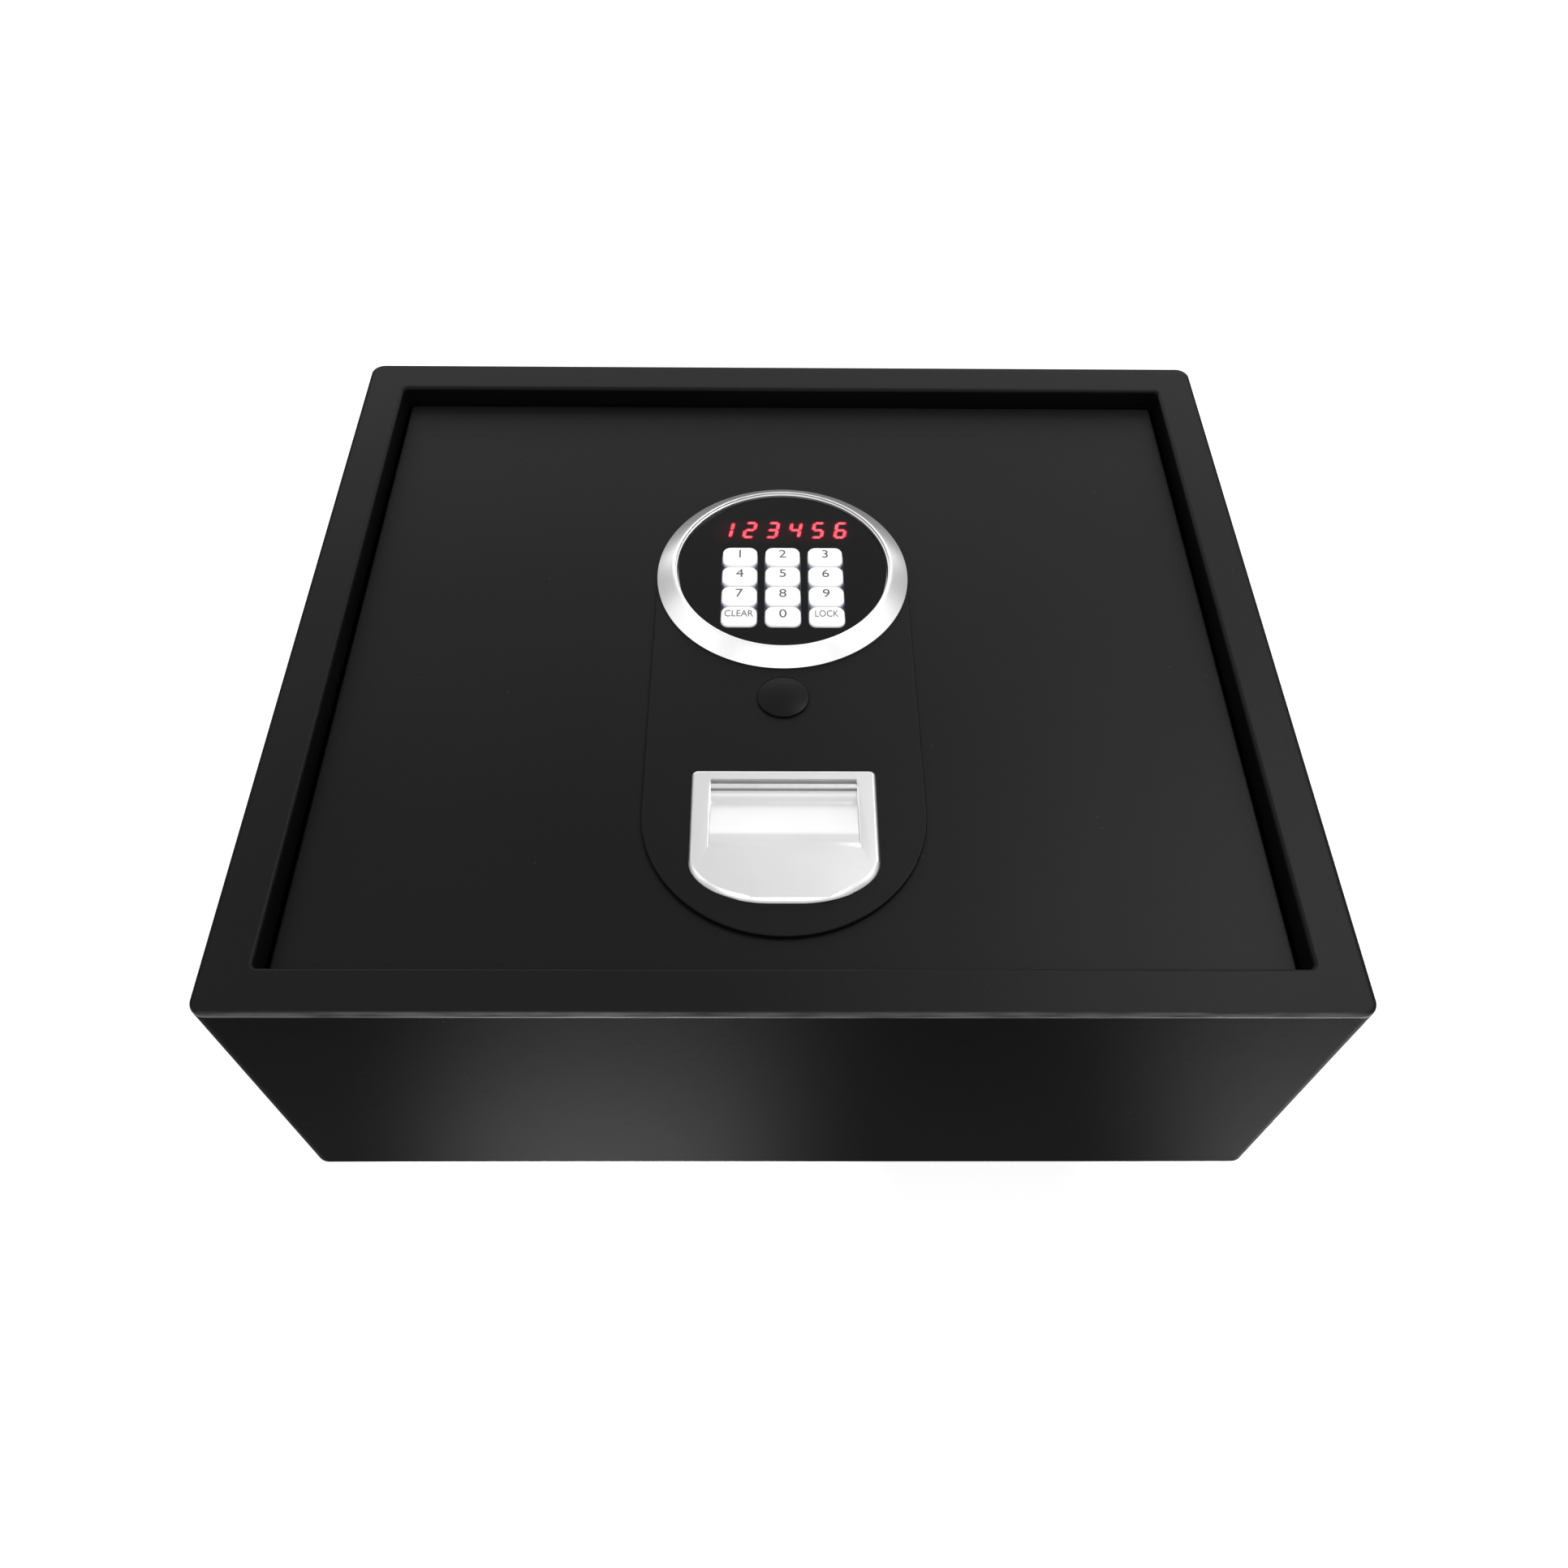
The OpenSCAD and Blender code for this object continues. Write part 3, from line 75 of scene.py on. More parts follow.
studio = {
    "floorColour": (0.42, 0.42, 0.42),
    "floorGlow": 0.75,
    "floorSize": 8.0,
    "worldColour": (1.0, 1.0, 1.0),
    "worldStrength": 0.5,
    # name: place, point that it faces, width, height, brightness
    "softboxes": {
        "ceilingBox": ((0.0, 0.7, 2.4), (0, 0.7, 0), 5.0, 4.1, 0.5),
        "backBox": ((0.0, 2.5, 1.1), (0, 0, 0.2), 4.6, 1.7, 1.15),
        "frontBox": ((0.0, -0.95, 1.2), (0, 0, 0.14), 1.6, 0.7, 1.25),
        "leftBox": ((-1.15, 0.08, 1.0), (0, 0.05, 0.14), 1.2, 0.7, 0.7),
        "rightBox": ((1.15, 0.08, 1.0), (0, 0.05, 0.14), 1.2, 0.7, 0.7),
        "cornerBox": ((0.75, 0.5, 1.48), (0.17, -0.15, 0.14), 0.55, 0.55, 8.0),
    },
    # name: place, point on the floor that it lights, cone in degrees, watts
    "pools": {
        "leftPool": ((-0.07, -0.62, 0.95), (-0.075, -0.232, 0), 12, 620),
        "rightPool": ((0.34, -0.62, 0.95), (0.25, -0.225, 0), 12, 560),
    },
}


def placeCamera(view):
    camera = bpy.data.cameras.new("photoCamera")
    camera.sensor_fit = "HORIZONTAL"
    camera.sensor_width = 36
    size = view["imageSize"]
    camera.lens = camera.sensor_width * view["focalPixels"] / size
    camera.shift_x = (size / 2 - view["centre"][0]) / size
    camera.shift_y = (view["centre"][1] - size / 2) / size
    pitch, yaw, roll = (radians(view[key]) for key in ("pitch", "yaw", "roll"))
    ahead = Vector((sin(yaw) * cos(pitch), cos(yaw) * cos(pitch), -sin(pitch)))
    level = Vector((cos(yaw), -sin(yaw), 0))
    upward = level.cross(ahead)
    right = level * cos(roll) + upward * sin(roll)
    up = upward * cos(roll) - level * sin(roll)
    facing = Matrix((right, up, -ahead)).transposed().to_4x4()
    holder = bpy.data.objects.new("photoCamera", camera)
    holder.matrix_world = Matrix.Translation(view["place"]) @ facing
    bpy.context.scene.collection.objects.link(holder)
    bpy.context.scene.camera = holder


def aimLight(light, place, target):
    holder = bpy.data.objects.new(light.name, light)
    aim = Vector(target) - Vector(place)
    holder.rotation_euler = aim.to_track_quat("-Z", "Y").to_euler()
    holder.location = place
    bpy.context.scene.collection.objects.link(holder)


def placeSoftbox(name, place, target, width, height, brightness):
    light = bpy.data.lights.new(name, "AREA")
    light.shape = "RECTANGLE"
    light.size = width
    light.size_y = height
    light.energy = pi * width * height * brightness
    aimLight(light, place, target)


def placePool(name, place, target, cone, watts):
    light = bpy.data.lights.new(name, "SPOT")
    light.spot_size = radians(cone)
    light.spot_blend = 1.0
    light.shadow_soft_size = 0.03
    light.energy = watts
    aimLight(light, place, target)


placeCamera(cameraView)
for boxName, boxSetting in studio["softboxes"].items():
    placeSoftbox(boxName, *boxSetting)
for poolName, poolSetting in studio["pools"].items():
    placePool(poolName, *poolSetting)
world = bpy.data.worlds.new("studioWorld")
world.use_nodes = True
world.node_tree.nodes["Background"].inputs["Color"].default_value = (*studio["worldColour"], 1)
world.node_tree.nodes["Background"].inputs["Strength"].default_value = studio["worldStrength"]
bpy.context.scene.world = world
bpy.context.scene.view_settings.view_transform = "Standard"
print("camera and studio placed")


def centreOf(node):
    low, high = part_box(node)
    return (low + high) / 2


# Tools for the finishes

def tone(code):
    # a six digit colour code as linear light
    parts = [int(code[at:at + 2], 16) / 255 for at in (0, 2, 4)]
    return tuple(part / 12.92 if part <= 0.04045 else ((part + 0.055) / 1.055) ** 2.4 for part in parts)


def feed(tree, socket, value):
    if isinstance(value, Wire):
        tree.links.new(value.socket, socket)
    elif isinstance(value, tuple) and socket.type == "RGBA" and len(value) == 3:
        socket.default_value = (*value, 1)
    else:
        socket.default_value = value


class Wire:
    # an output socket that takes part in plain Python sums
    def __init__(self, tree, socket):
        self.tree = tree
        self.socket = socket

    def sum(self, operation, other=None, swapped=False, clamp=False):
        node = self.tree.nodes.new("ShaderNodeMath")
        node.operation = operation
        node.use_clamp = clamp
        values = (other, self) if swapped else (self, other)
        for socket, value in zip(node.inputs, values):
            if value is not None:
                feed(self.tree, socket, value)
        return Wire(self.tree, node.outputs[0])

    __add__ = __radd__ = partialmethod(sum, "ADD")
    __mul__ = __rmul__ = partialmethod(sum, "MULTIPLY")
    __sub__ = partialmethod(sum, "SUBTRACT")
    __rsub__ = partialmethod(sum, "SUBTRACT", swapped=True)
    __truediv__ = partialmethod(sum, "DIVIDE")
    __pow__ = partialmethod(sum, "POWER")
    __mod__ = partialmethod(sum, "FLOORED_MODULO")
    __gt__ = partialmethod(sum, "GREATER_THAN")
    __lt__ = partialmethod(sum, "LESS_THAN")
    __abs__ = partialmethod(sum, "ABSOLUTE")
    held = partialmethod(sum, "ADD", 0.0, clamp=True)


class Bench:
    # a node tree that is filled one node at a time
    def __init__(self, tree):
        self.tree = tree

    def node(self, kind, settings=None, inputs=None, output=0):
        made = self.tree.nodes.new(kind)
        for key, value in (settings or {}).items():
            setattr(made, key, value)
        for key, value in (inputs or {}).items():
            feed(self.tree, made.inputs[key], value)
        return Wire(self.tree, made.outputs[output])


class Finish(Bench):
    # a material, its shader and the patterns that are shared by many finishes
    def __init__(self, name, colour, roughness, metallic=0.0, **constants):
        self.material = bpy.data.materials.new(name)
        self.material.use_nodes = True
        super().__init__(self.material.node_tree)
        self.shader = self.tree.nodes["Principled BSDF"]
        self.set("Base Color", colour)
        self.set("Roughness", roughness)
        self.set("Metallic", metallic)
        for label, value in constants.items():
            self.set(label, value)
        self.place = self.node("ShaderNodeTexCoord", output="Object")

    def set(self, label, value):
        feed(self.tree, self.shader.inputs[label], value)

    def axis(self, letter):
        return self.node("ShaderNodeSeparateXYZ", inputs={0: self.place}, output=letter)

    def stretched(self, scale):
        return self.node("ShaderNodeMapping", inputs={"Vector": self.place, "Scale": scale})

    def noise(self, scale, detail=2.0, along=None):
        return self.node("ShaderNodeTexNoise", inputs={
            "Vector": along or self.place, "Scale": scale, "Detail": detail})

    def cells(self, scale, feature="F1", output="Distance"):
        return self.node("ShaderNodeTexVoronoi", {"feature": feature},
                         {"Vector": self.place, "Scale": scale}, output)

    def mix(self, factor, first, second):
        return self.node("ShaderNodeMix", {"data_type": "RGBA"}, {0: factor, 6: first, 7: second}, 2)

    def rise(self, value, low, high):
        # 0 below low, 1 above high, smooth between them
        return self.node("ShaderNodeMapRange", {"interpolation_type": "SMOOTHSTEP"},
                         {0: value, 1: low, 2: high})

    def bump(self, height, distance, strength):
        self.set("Normal", self.node("ShaderNodeBump", inputs={
            "Height": height, "Distance": distance, "Strength": strength}))

    def done(self, colour, roughness, *dents):
        # dents: height, distance and strength of the bump
        self.set("Base Color", colour)
        self.set("Roughness", roughness)
        if dents:
            self.bump(*dents)
        return self.material


# Finishes

def powderCoat(name, dark, light, sheen, worn=None, **constants):
    # tone of the front fold: a painted highlight where the rounded fold would catch the light from the front
    coat = Finish(name, tone(dark), 0.4, **{"Specular IOR Level": sheen, **constants})
    grit = coat.noise(2300, 2)
    skin = coat.noise(620, 1)
    clouds = coat.noise(7, 3)
    specks = coat.cells(90) < 0.012
    base = coat.mix(coat.rise(clouds, 0.3, 0.7), tone(dark), tone(light))
    dull = 0.0
    if worn:
        x, y = coat.axis("X"), coat.axis("Y")
        low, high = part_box("top_frame")
        # painted highlight along the top frame's front fold, broken into streaks
        highlightStreaks = 2.2 * coat.noise(1.0, 5, coat.stretched((60, 700, 700))) - 0.35
        fold = (1 - coat.rise(y, low.y + 0.4 * mm, low.y + 1.7 * mm)) * highlightStreaks
        base = coat.mix(fold.held(), base, tone(worn))
        dull = 0.45 * coat.rise(abs(x), high.x - 2.2 * mm, high.x - 0.8 * mm)
    return coat.done(coat.mix(specks, base, tone("6a6a68")), 0.33 + 0.1 * clouds + 0.12 * grit + dull,
                     0.55 * skin + 0.45 * grit, 0.09 * mm, 0.55)


def satinMetal(name, dark, light, brightBelow=None):
    # the height given last: under it the casting's round edge gets a painted highlight, near white
    metal = Finish(name, tone(light), 0.3, 1.0)
    flake = metal.noise(4200, 1)
    clouds = metal.noise(24, 2)
    base = metal.mix(metal.rise(clouds, 0.3, 0.7), tone(dark), tone(light))
    if brightBelow:
        # painted highlight: the round edges below that height are near white
        fold = 1 - metal.rise(metal.axis("Z"), brightBelow - 0.3 * mm, brightBelow)
        base = metal.mix(fold, base, tone("fafafa"))
    return metal.done(base, 0.25 + 0.1 * flake, flake, 0.012 * mm, 0.4)


def ruledMetal(name, dark, light, roughness, lines):
    # metal with fine lines, drawn out along the axis with the small scale
    metal = Finish(name, tone(light), roughness, 1.0)
    streaks = metal.noise(1.0, 3, metal.stretched(lines))
    smudge = metal.noise(40, 2)
    return metal.done(metal.mix(0.6 * streaks + 0.4 * smudge, tone(dark), tone(light)),
                      roughness - 0.08 + 0.1 * streaks + 0.08 * smudge, streaks, 0.008 * mm, 0.5)


def zincSheet():
    zinc = Finish("zincSheet", tone("a6abb0"), 0.36, 1.0)
    spangle = zinc.cells(260, output="Color")
    patch = zinc.node("ShaderNodeSeparateXYZ", inputs={0: spangle})
    rolled = zinc.noise(1.0, 3, zinc.stretched((25, 900, 900)))
    return zinc.done(zinc.mix(0.5 * patch + 0.5 * rolled, tone("8f959b"), tone("b9bec2")),
                     0.28 + 0.14 * patch + 0.08 * rolled, rolled, 0.008 * mm, 0.5)


def blackPlastic():
    plastic = Finish("blackPlastic", tone("161617"), 0.5, **{"Specular IOR Level": 0.4})
    grain = plastic.cells(2200)
    wave = plastic.noise(30, 2)
    return plastic.done(plastic.mix(wave, tone("121213"), tone("1b1b1c")), 0.42 + 0.12 * wave + 0.1 * grain,
                        grain, 0.03 * mm, 0.5)


def moulded(name, dark, light, roughness, spread, grain, dents=None, clouds=None, **constants):
    # grain, clouds: scale and detail of the surface and, if that differs, of its colour
    stuff = Finish(name, tone(light), roughness, **constants)
    skin = stuff.noise(*grain)
    stuff.set("Base Color", stuff.mix(stuff.noise(*clouds) if clouds else skin, tone(dark), tone(light)))
    stuff.set("Roughness", roughness + spread * skin)
    if dents:
        stuff.bump(skin, *dents)
    return stuff.material


def keyPlastic():
    plastic = Finish("keyPlastic", tone("e2e2e0"), 0.3, **{
        "Subsurface Weight": 0.15, "Subsurface Radius": (0.0008, 0.0008, 0.0008), "Emission Strength": 1.0})
    grain = plastic.noise(1800, 2)
    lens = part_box("keypad_lens")[1].z
    leak = 1 - plastic.rise(plastic.axis("Z"), lens - 0.4 * mm, lens + 0.7 * mm)
    plastic.set("Emission Color", plastic.mix(leak, tone("202020"), tone("262f42")))
    return plastic.done(plastic.mix(plastic.noise(160, 1), tone("f2f2f0"), tone("ecebea")),
                        0.26 + 0.12 * grain, grain, 0.006 * mm, 0.4)


def smokedLens():
    lens = Finish("smokedLens", tone("060607"), 0.06, **{
        "Emission Strength": 1.0, "Specular IOR Level": 0.12})
    middle = centreOf("display_module")
    wide = 1 - lens.rise(abs(lens.axis("X") - middle.x), 24 * mm, 33 * mm)
    deep = 1 - lens.rise(abs(lens.axis("Y") - middle.y), 2 * mm, 10 * mm)
    haze = lens.noise(60, 2)
    red = wide * deep * (0.7 + 0.6 * haze)
    lens.set("Emission Color", lens.mix(red, (0.0, 0.0, 0.0), (0.012, 0.0005, 0.001)))
    return lens.done(lens.mix(haze, tone("050506"), tone("09090b")), 0.04 + 0.05 * haze)


def ledCore():
    led = Finish("ledCore", tone("3a0408"), 0.35, **{"Emission Strength": 1.0})
    spots = led.noise(700, 1)
    led.set("Emission Color", led.mix(led.rise(spots, 0.35, 0.7), (1.0, 0.055, 0.105), (1.0, 0.16, 0.24)))
    led.set("Base Color", led.mix(spots, tone("30040a"), tone("48080e")))
    return led.material


def ledHalo():
    halo = Finish("ledHalo", tone("120103"), 0.3, **{"Emission Strength": 1.0, "Specular IOR Level": 0.0})
    glow = halo.node("ShaderNodeAttribute", {"attribute_name": "glow"}, output="Fac")
    halo.set("Alpha", (glow ** 2.2 * 0.85).held())
    halo.set("Emission Color", halo.mix(glow, (0.25, 0.004, 0.01), (0.75, 0.02, 0.04)))
    return halo.material


def circuitBoard():
    board = Finish("circuitBoard", tone("1c5a34"), 0.3, **{"Specular IOR Level": 0.5})
    x, y = board.axis("X"), board.axis("Y")
    rows = abs((y / (1.27 * mm)) % 1.0 - 0.5) < 0.16
    columns = abs((x / (2.54 * mm)) % 1.0 - 0.5) < 0.09
    field = board.rise(board.noise(90, 1), 0.48, 0.5)
    tracks = (rows * field + columns * (1 - field)).held()
    ringX = (x / (2.54 * mm)) % 1.0 - 0.5
    ringY = (y / (2.54 * mm)) % 1.0 - 0.5
    pads = ((ringX * ringX + ringY * ringY) < 0.03) * board.rise(board.noise(140, 1), 0.56, 0.57)
    mask = board.mix(tracks, tone("164a2a"), tone("23703f"))
    board.set("Metallic", pads)
    return board.done(board.mix(pads, mask, tone("c9a24a")), 0.26 + 0.12 * board.noise(500, 2),
                      tracks + pads, 0.03 * mm, 0.6)


def displayBlock():
    block = Finish("displayBlock", tone("2a0507"), 0.35)
    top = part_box("display_module")[1].z
    window = 1 - block.rise(block.axis("Z"), top - 0.6 * mm, top - 0.4 * mm)
    return block.done(block.mix(window, tone("141414"), tone("3a0a0d")), 0.3 + 0.15 * block.noise(900, 2))


def cellWrap():
    cell = Finish("cellWrap", tone("3f6f86"), 0.28, 0.6)
    low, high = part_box("battery_cells")
    x, y = cell.axis("X"), cell.axis("Y")
    column = (x - low.x) / (15 * mm)
    flipped = (column * 0.5) % 1.0 > 0.5
    along = (y - low.y) / (high.y - low.y)
    fromPlus = flipped * along + (1 - flipped) * (1 - along)
    collar = fromPlus < 0.24
    stripe = (abs(fromPlus - 0.25) < 0.006) + (abs(fromPlus - 0.9) < 0.004)
    ends = (along < 0.012) + (along > 0.988)
    wrap = cell.mix(collar, tone("2b2c30"), tone("b9793f"))
    wrap = cell.mix(stripe.held(), wrap, tone("d8d8d8"))
    cell.set("Metallic", 0.55 + 0.4 * ends.held())
    return cell.done(cell.mix(ends.held(), wrap, tone("b8babc")), 0.2 + 0.16 * cell.noise(900, 2),
                     cell.noise(400, 2), 0.01 * mm, 0.3)


def flatCable():
    cable = Finish("flatCable", tone("9a9ea6"), 0.4)
    x = cable.axis("X")
    wires = abs((x / (1.27 * mm)) % 1.0 - 0.5)
    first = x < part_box("ribbon_cable")[0].x + 1.4 * mm
    return cable.done(cable.mix(first, tone("9a9ea6"), tone("a8323a")), 0.34 + 0.2 * wires,
                      1 - wires, 0.3 * mm, 0.7)


def felt():
    cloth = Finish("felt", tone("26272b"), 0.95, **{"Sheen Weight": 0.35, "Sheen Roughness": 0.5})
    fibres = cloth.noise(1.0, 4, cloth.stretched((900, 2600, 900)))
    across = cloth.noise(1.0, 4, cloth.stretched((2600, 900, 900)))
    tufts = cloth.cells(650)
    worn = cloth.noise(12, 3)
    blend = 0.45 * fibres + 0.35 * across + 0.25 * worn
    return cloth.done(cloth.mix(blend, tone("15161a"), tone("404249")), 0.86 + 0.12 * tufts,
                      fibres + across + tufts, 0.4 * mm, 0.8)


finishes = {
    "black_powder_coat": powderCoat("powderCoat", "080808", "0b0b0c", 0.12),
    "satin_metal": satinMetal("satinMetal", "cfcfd0", "d5d5d6"),
    "bright_steel": ruledMetal("groundSteel", "a4a7ab", "c6c8cb", 0.26, (900, 60, 900)),
    "zinc_steel": zincSheet(),
    "dark_steel": ruledMetal("darkOxide", "1f1f21", "38383b", 0.42, (700, 700, 120)),
    "spring_steel": ruledMetal("springWire", "7d7f82", "a9abae", 0.3, (1400, 1400, 1400)),
    "felt": felt(),
    "rubber": moulded("rubberPad", "0c0c0c", "1a1a1a", 0.64, 0.2, (900, 3), (0.04 * mm, 0.5),
                      **{"Specular IOR Level": 0.35}),
    "smoked_lens": smokedLens(),
    "black_plastic": blackPlastic(),
    "white_key": keyPlastic(),
    "silicone": moulded("silicone", "c6c6c0", "dcdcd6", 0.42, 0.18, (600, 3), (0.01 * mm, 0.4),
                        **{"Subsurface Weight": 0.4, "Subsurface Radius": (0.002, 0.002, 0.002)}),
    "circuit_board": circuitBoard(),
    "display": displayBlock(),
    "lock_brass": ruledMetal("lockBrass", "a98a45", "cfb16a", 0.28, (80, 1200, 1200)),
    "barrel_nickel": ruledMetal("barrelNickel", "a3a39f", "cbcac6", 0.2, (1200, 1200, 60)),
    "nylon": moulded("nylon", "d4cbb6", "e6dfce", 0.36, 0.14, (1600, 2), (0.012 * mm, 0.4), (70, 2),
                     **{"Subsurface Weight": 0.2, "Subsurface Radius": (0.002, 0.0016, 0.0012)}),
    "cell_wrap": cellWrap(),
    "contact_metal": ruledMetal("contactMetal", "b0b2b4", "d6d8da", 0.24, (500, 500, 500)),
    "cable": flatCable(),
    "red_button": moulded("redPlastic", "99100f", "b5181d", 0.24, 0.12, (1500, 2), (0.008 * mm, 0.4)),
}
# the walls and base plate: the black powder coat in darker tones, which is painted shade, and with less sheen
shadedWallFinish = powderCoat("wallCoat", "040405", "070708", 0.012, IOR=1.3)
# the top frame: the same coat with a painted highlight along its front fold
frameFinish = powderCoat("frameCoat", "080808", "0b0b0c", 0.12, worn="525252")
# the bezel: the satin metal in lighter tones, painted light that stands in for the stronger light on the bezel
litBezelFinish = satinMetal("bezelSatin", "e9e9ea", "efeff0")
# the finger pull: the satin metal with a painted highlight on its round edges
pullFinish = satinMetal("pullSatin", "cfcfd0", "d5d5d6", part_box("finger_pull")[1].z - 0.08 * mm)
coverFinish = powderCoat("coverCoat", "202023", "2a2a2d", 0.4)
keyholeFinish = moulded("keyholeBlack", "0a0a0a", "0f0f0f", 0.26, 0.1, (1500, 2), (0.01 * mm, 0.4),
                        **{"Specular IOR Level": 0.1})
inkFinish = moulded("labelInk", "3a3a3c", "525254", 0.45, 0.2, (2600, 2))
coreFinish = ledCore()
haloFinish = ledHalo()
print("finishes mixed:", len(finishes) + 9)


# Tools for the pieces

def addFinishes(mesh, *wanted):
    for finish in wanted:
        mesh.materials.append(finish)


def addPiece(name, mesh, finish=None):
    if finish:
        mesh.materials.clear()
        addFinishes(mesh, finish)
    piece = bpy.data.objects.new(name, mesh)
    bpy.context.scene.collection.objects.link(piece)
    return piece


def meshFrom(name, points, faces, edges=()):
    mesh = bpy.data.meshes.new(name)
    mesh.from_pydata([tuple(point) for point in points], list(edges), faces)
    mesh.update()
    return mesh


def tidyMesh(mesh, merge=2e-6, outward=False):
    work = bmesh.new()
    work.from_mesh(mesh)
    bmesh.ops.remove_doubles(work, verts=work.verts, dist=merge)
    if outward:
        bmesh.ops.recalc_face_normals(work, faces=work.faces)
    work.to_mesh(mesh)
    work.free()
    return mesh


def smooth(mesh, angle=32):
    for face in mesh.polygons:
        face.use_smooth = True
    if angle:
        mesh.set_sharp_from_angle(angle=radians(angle))


def settle(piece, node, stands=True):
    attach(piece, bodyOf[node])
    if stands:
        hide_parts(node)
    return piece


def pieceName(node):
    first, *rest = node.split("_")
    return first + "".join(word.capitalize() for word in rest)


def dress(node, finish=None, edge=0.2, angle=34, reshape=None):
    # the node's own shape, merged, with broken edges and its finish
    mesh = frame["nodes"][node].data.copy()
    mesh.name = pieceName(node)
    work = bmesh.new()
    work.from_mesh(mesh)
    bmesh.ops.remove_doubles(work, verts=work.verts, dist=2e-6)
    bmesh.ops.dissolve_limit(work, angle_limit=radians(0.4), verts=work.verts, edges=work.edges)
    if reshape:
        reshape(work)
    work.to_mesh(mesh)
    work.free()
    piece = addPiece(pieceName(node), mesh, finish or finishes[slotOf[node]])
    smooth(mesh, None if edge else angle)
    if edge:
        bevel = piece.modifiers.new("brokenEdges", "BEVEL")
        bevel.width = edge * mm
        bevel.segments = 2
        bevel.limit_method = "ANGLE"
        bevel.angle_limit = radians(angle)
        bevel.use_clamp_overlap = False
        bevel.miter_outer = "MITER_ARC"
    flatten = piece.modifiers.new("flatFaces", "WEIGHTED_NORMAL")
    flatten.weight = 100
    flatten.keep_sharp = True
    return settle(piece, node)


def dressAll(edges):
    for node, edge in edges.items():
        dress(node, edge=edge)


def loft(rings, closed=True):
    # rings of equal count, joined into a skin; each end is closed to its middle
    count = len(rings[0])
    points = [point for ring in rings for point in ring]
    faces = []
    for base in range(0, (len(rings) - 1) * count, count):
        for k in range(count):
            after = (k + 1) % count
            faces.append((base + k, base + after, base + count + after, base + count + k))
    if closed:
        for ring, base, order in ((rings[0], 0, -1), (rings[-1], (len(rings) - 1) * count, 1)):
            middle = sum((Vector(point) for point in ring), Vector()) / count
            points.append(middle)
            centre = len(points) - 1
            for k in range(count):
                corner = (base + k, base + (k + 1) % count)
                faces.append((*corner[::order], centre))
    return points, faces


def roundRing(width, length, radius, z, steps=6):
    # a rectangle with round corners, the same number of points at any size
    radius = max(min(radius, width / 2, length / 2), 1e-6)
    ring = []
    for quarter, (sx, sy) in enumerate(((1, 1), (-1, 1), (-1, -1), (1, -1))):
        cx, cy = sx * (width / 2 - radius), sy * (length / 2 - radius)
        for k in range(steps + 1):
            turn = radians(90 * (quarter + k / steps))
            ring.append((cx + radius * cos(turn), cy + radius * sin(turn), z))
    return ring


def circleRing(radius, z, count=24):
    return [(*polar((0, 0), radius, 360 * k / count), z) for k in range(count)]


def hexRing(radius, z, count=24):
    # points on a hexagon, as many as on the circle round it
    ring = []
    for k in range(count):
        turn = 2 * pi * k / count
        part = (turn % (pi / 3)) - pi / 6
        reach = radius * cos(pi / 6) / cos(part)
        ring.append((reach * cos(turn), reach * sin(turn), z))
    return ring


def polar(centre, reach, angle):
    turn = radians(angle)
    return centre[0] + reach * cos(turn), centre[1] + reach * sin(turn)


def arc(centre, radius, start, end, steps):
    return [polar(centre, radius, start + (end - start) * k / steps) for k in range(steps + 1)]


# Geometry Nodes trees: one that turns a profile, one that sets copies on points, one that draws wire

class Tree(Bench):
    def __init__(self, name, sizes):
        super().__init__(bpy.data.node_groups.new(name, "GeometryNodeTree"))
        face = self.tree.interface
        face.new_socket("Geometry", in_out="INPUT", socket_type="NodeSocketGeometry")
        face.new_socket("Geometry", in_out="OUTPUT", socket_type="NodeSocketGeometry")
        for label, (kind, value) in sizes.items():
            socket = face.new_socket(label, in_out="INPUT", socket_type="NodeSocket" + kind)
            if value is not None:
                socket.default_value = value
        self.inward = self.tree.nodes.new("NodeGroupInput")

    def size(self, label):
        return Wire(self.tree, self.inward.outputs[label])

    def finish(self, shape):
        whole = self.node("GeometryNodeRealizeInstances", inputs={0: shape})
        painted = self.node("GeometryNodeSetMaterial", inputs={
            "Geometry": whole, "Material": self.size("Finish")})
        outward = self.tree.nodes.new("NodeGroupOutput")
        feed(self.tree, outward.inputs[0], painted)


def turningTree():
    tree = Tree("turnProfile", {
        "Radius": ("Float", 0.05), "Steps": ("Int", 128), "Finish": ("Material", None)})
    profile = tree.node("GeometryNodeMeshToCurve", inputs={0: tree.size("Geometry")})
    path = tree.node("GeometryNodeCurvePrimitiveCircle", inputs={
        "Resolution": tree.size("Steps"), "Radius": tree.size("Radius")})
    tree.finish(tree.node("GeometryNodeCurveToMesh", inputs={"Curve": path, "Profile Curve": profile}))
    return tree


def settingTree():
    tree = Tree("setCopies", {
        "Copy": ("Object", None), "Finish": ("Material", None),
        "Slant": ("Float", 0.0), "Line": ("Float", 0.0)})
    shape = tree.node("GeometryNodeObjectInfo", inputs={"Object": tree.size("Copy")}, output="Geometry")
    turn, reach = (tree.node("GeometryNodeInputNamedAttribute", {"data_type": "FLOAT_VECTOR"},
                             {"Name": label}) for label in ("turn", "reach"))
    facing = tree.node("FunctionNodeEulerToRotation", inputs={0: turn})
    copies = tree.node("GeometryNodeInstanceOnPoints", inputs={
        "Points": tree.size("Geometry"), "Instance": shape, "Rotation": facing, "Scale": reach})
    whole = tree.node("GeometryNodeRealizeInstances", inputs={0: copies})
    spot = tree.node("GeometryNodeInputPosition")
    height = tree.node("ShaderNodeSeparateXYZ", inputs={0: spot}, output="Y")
    lean = tree.node("ShaderNodeCombineXYZ", inputs={0: (height - tree.size("Line")) * tree.size("Slant")})
    tree.finish(tree.node("GeometryNodeSetPosition", inputs={"Geometry": whole, "Offset": lean}))
    return tree


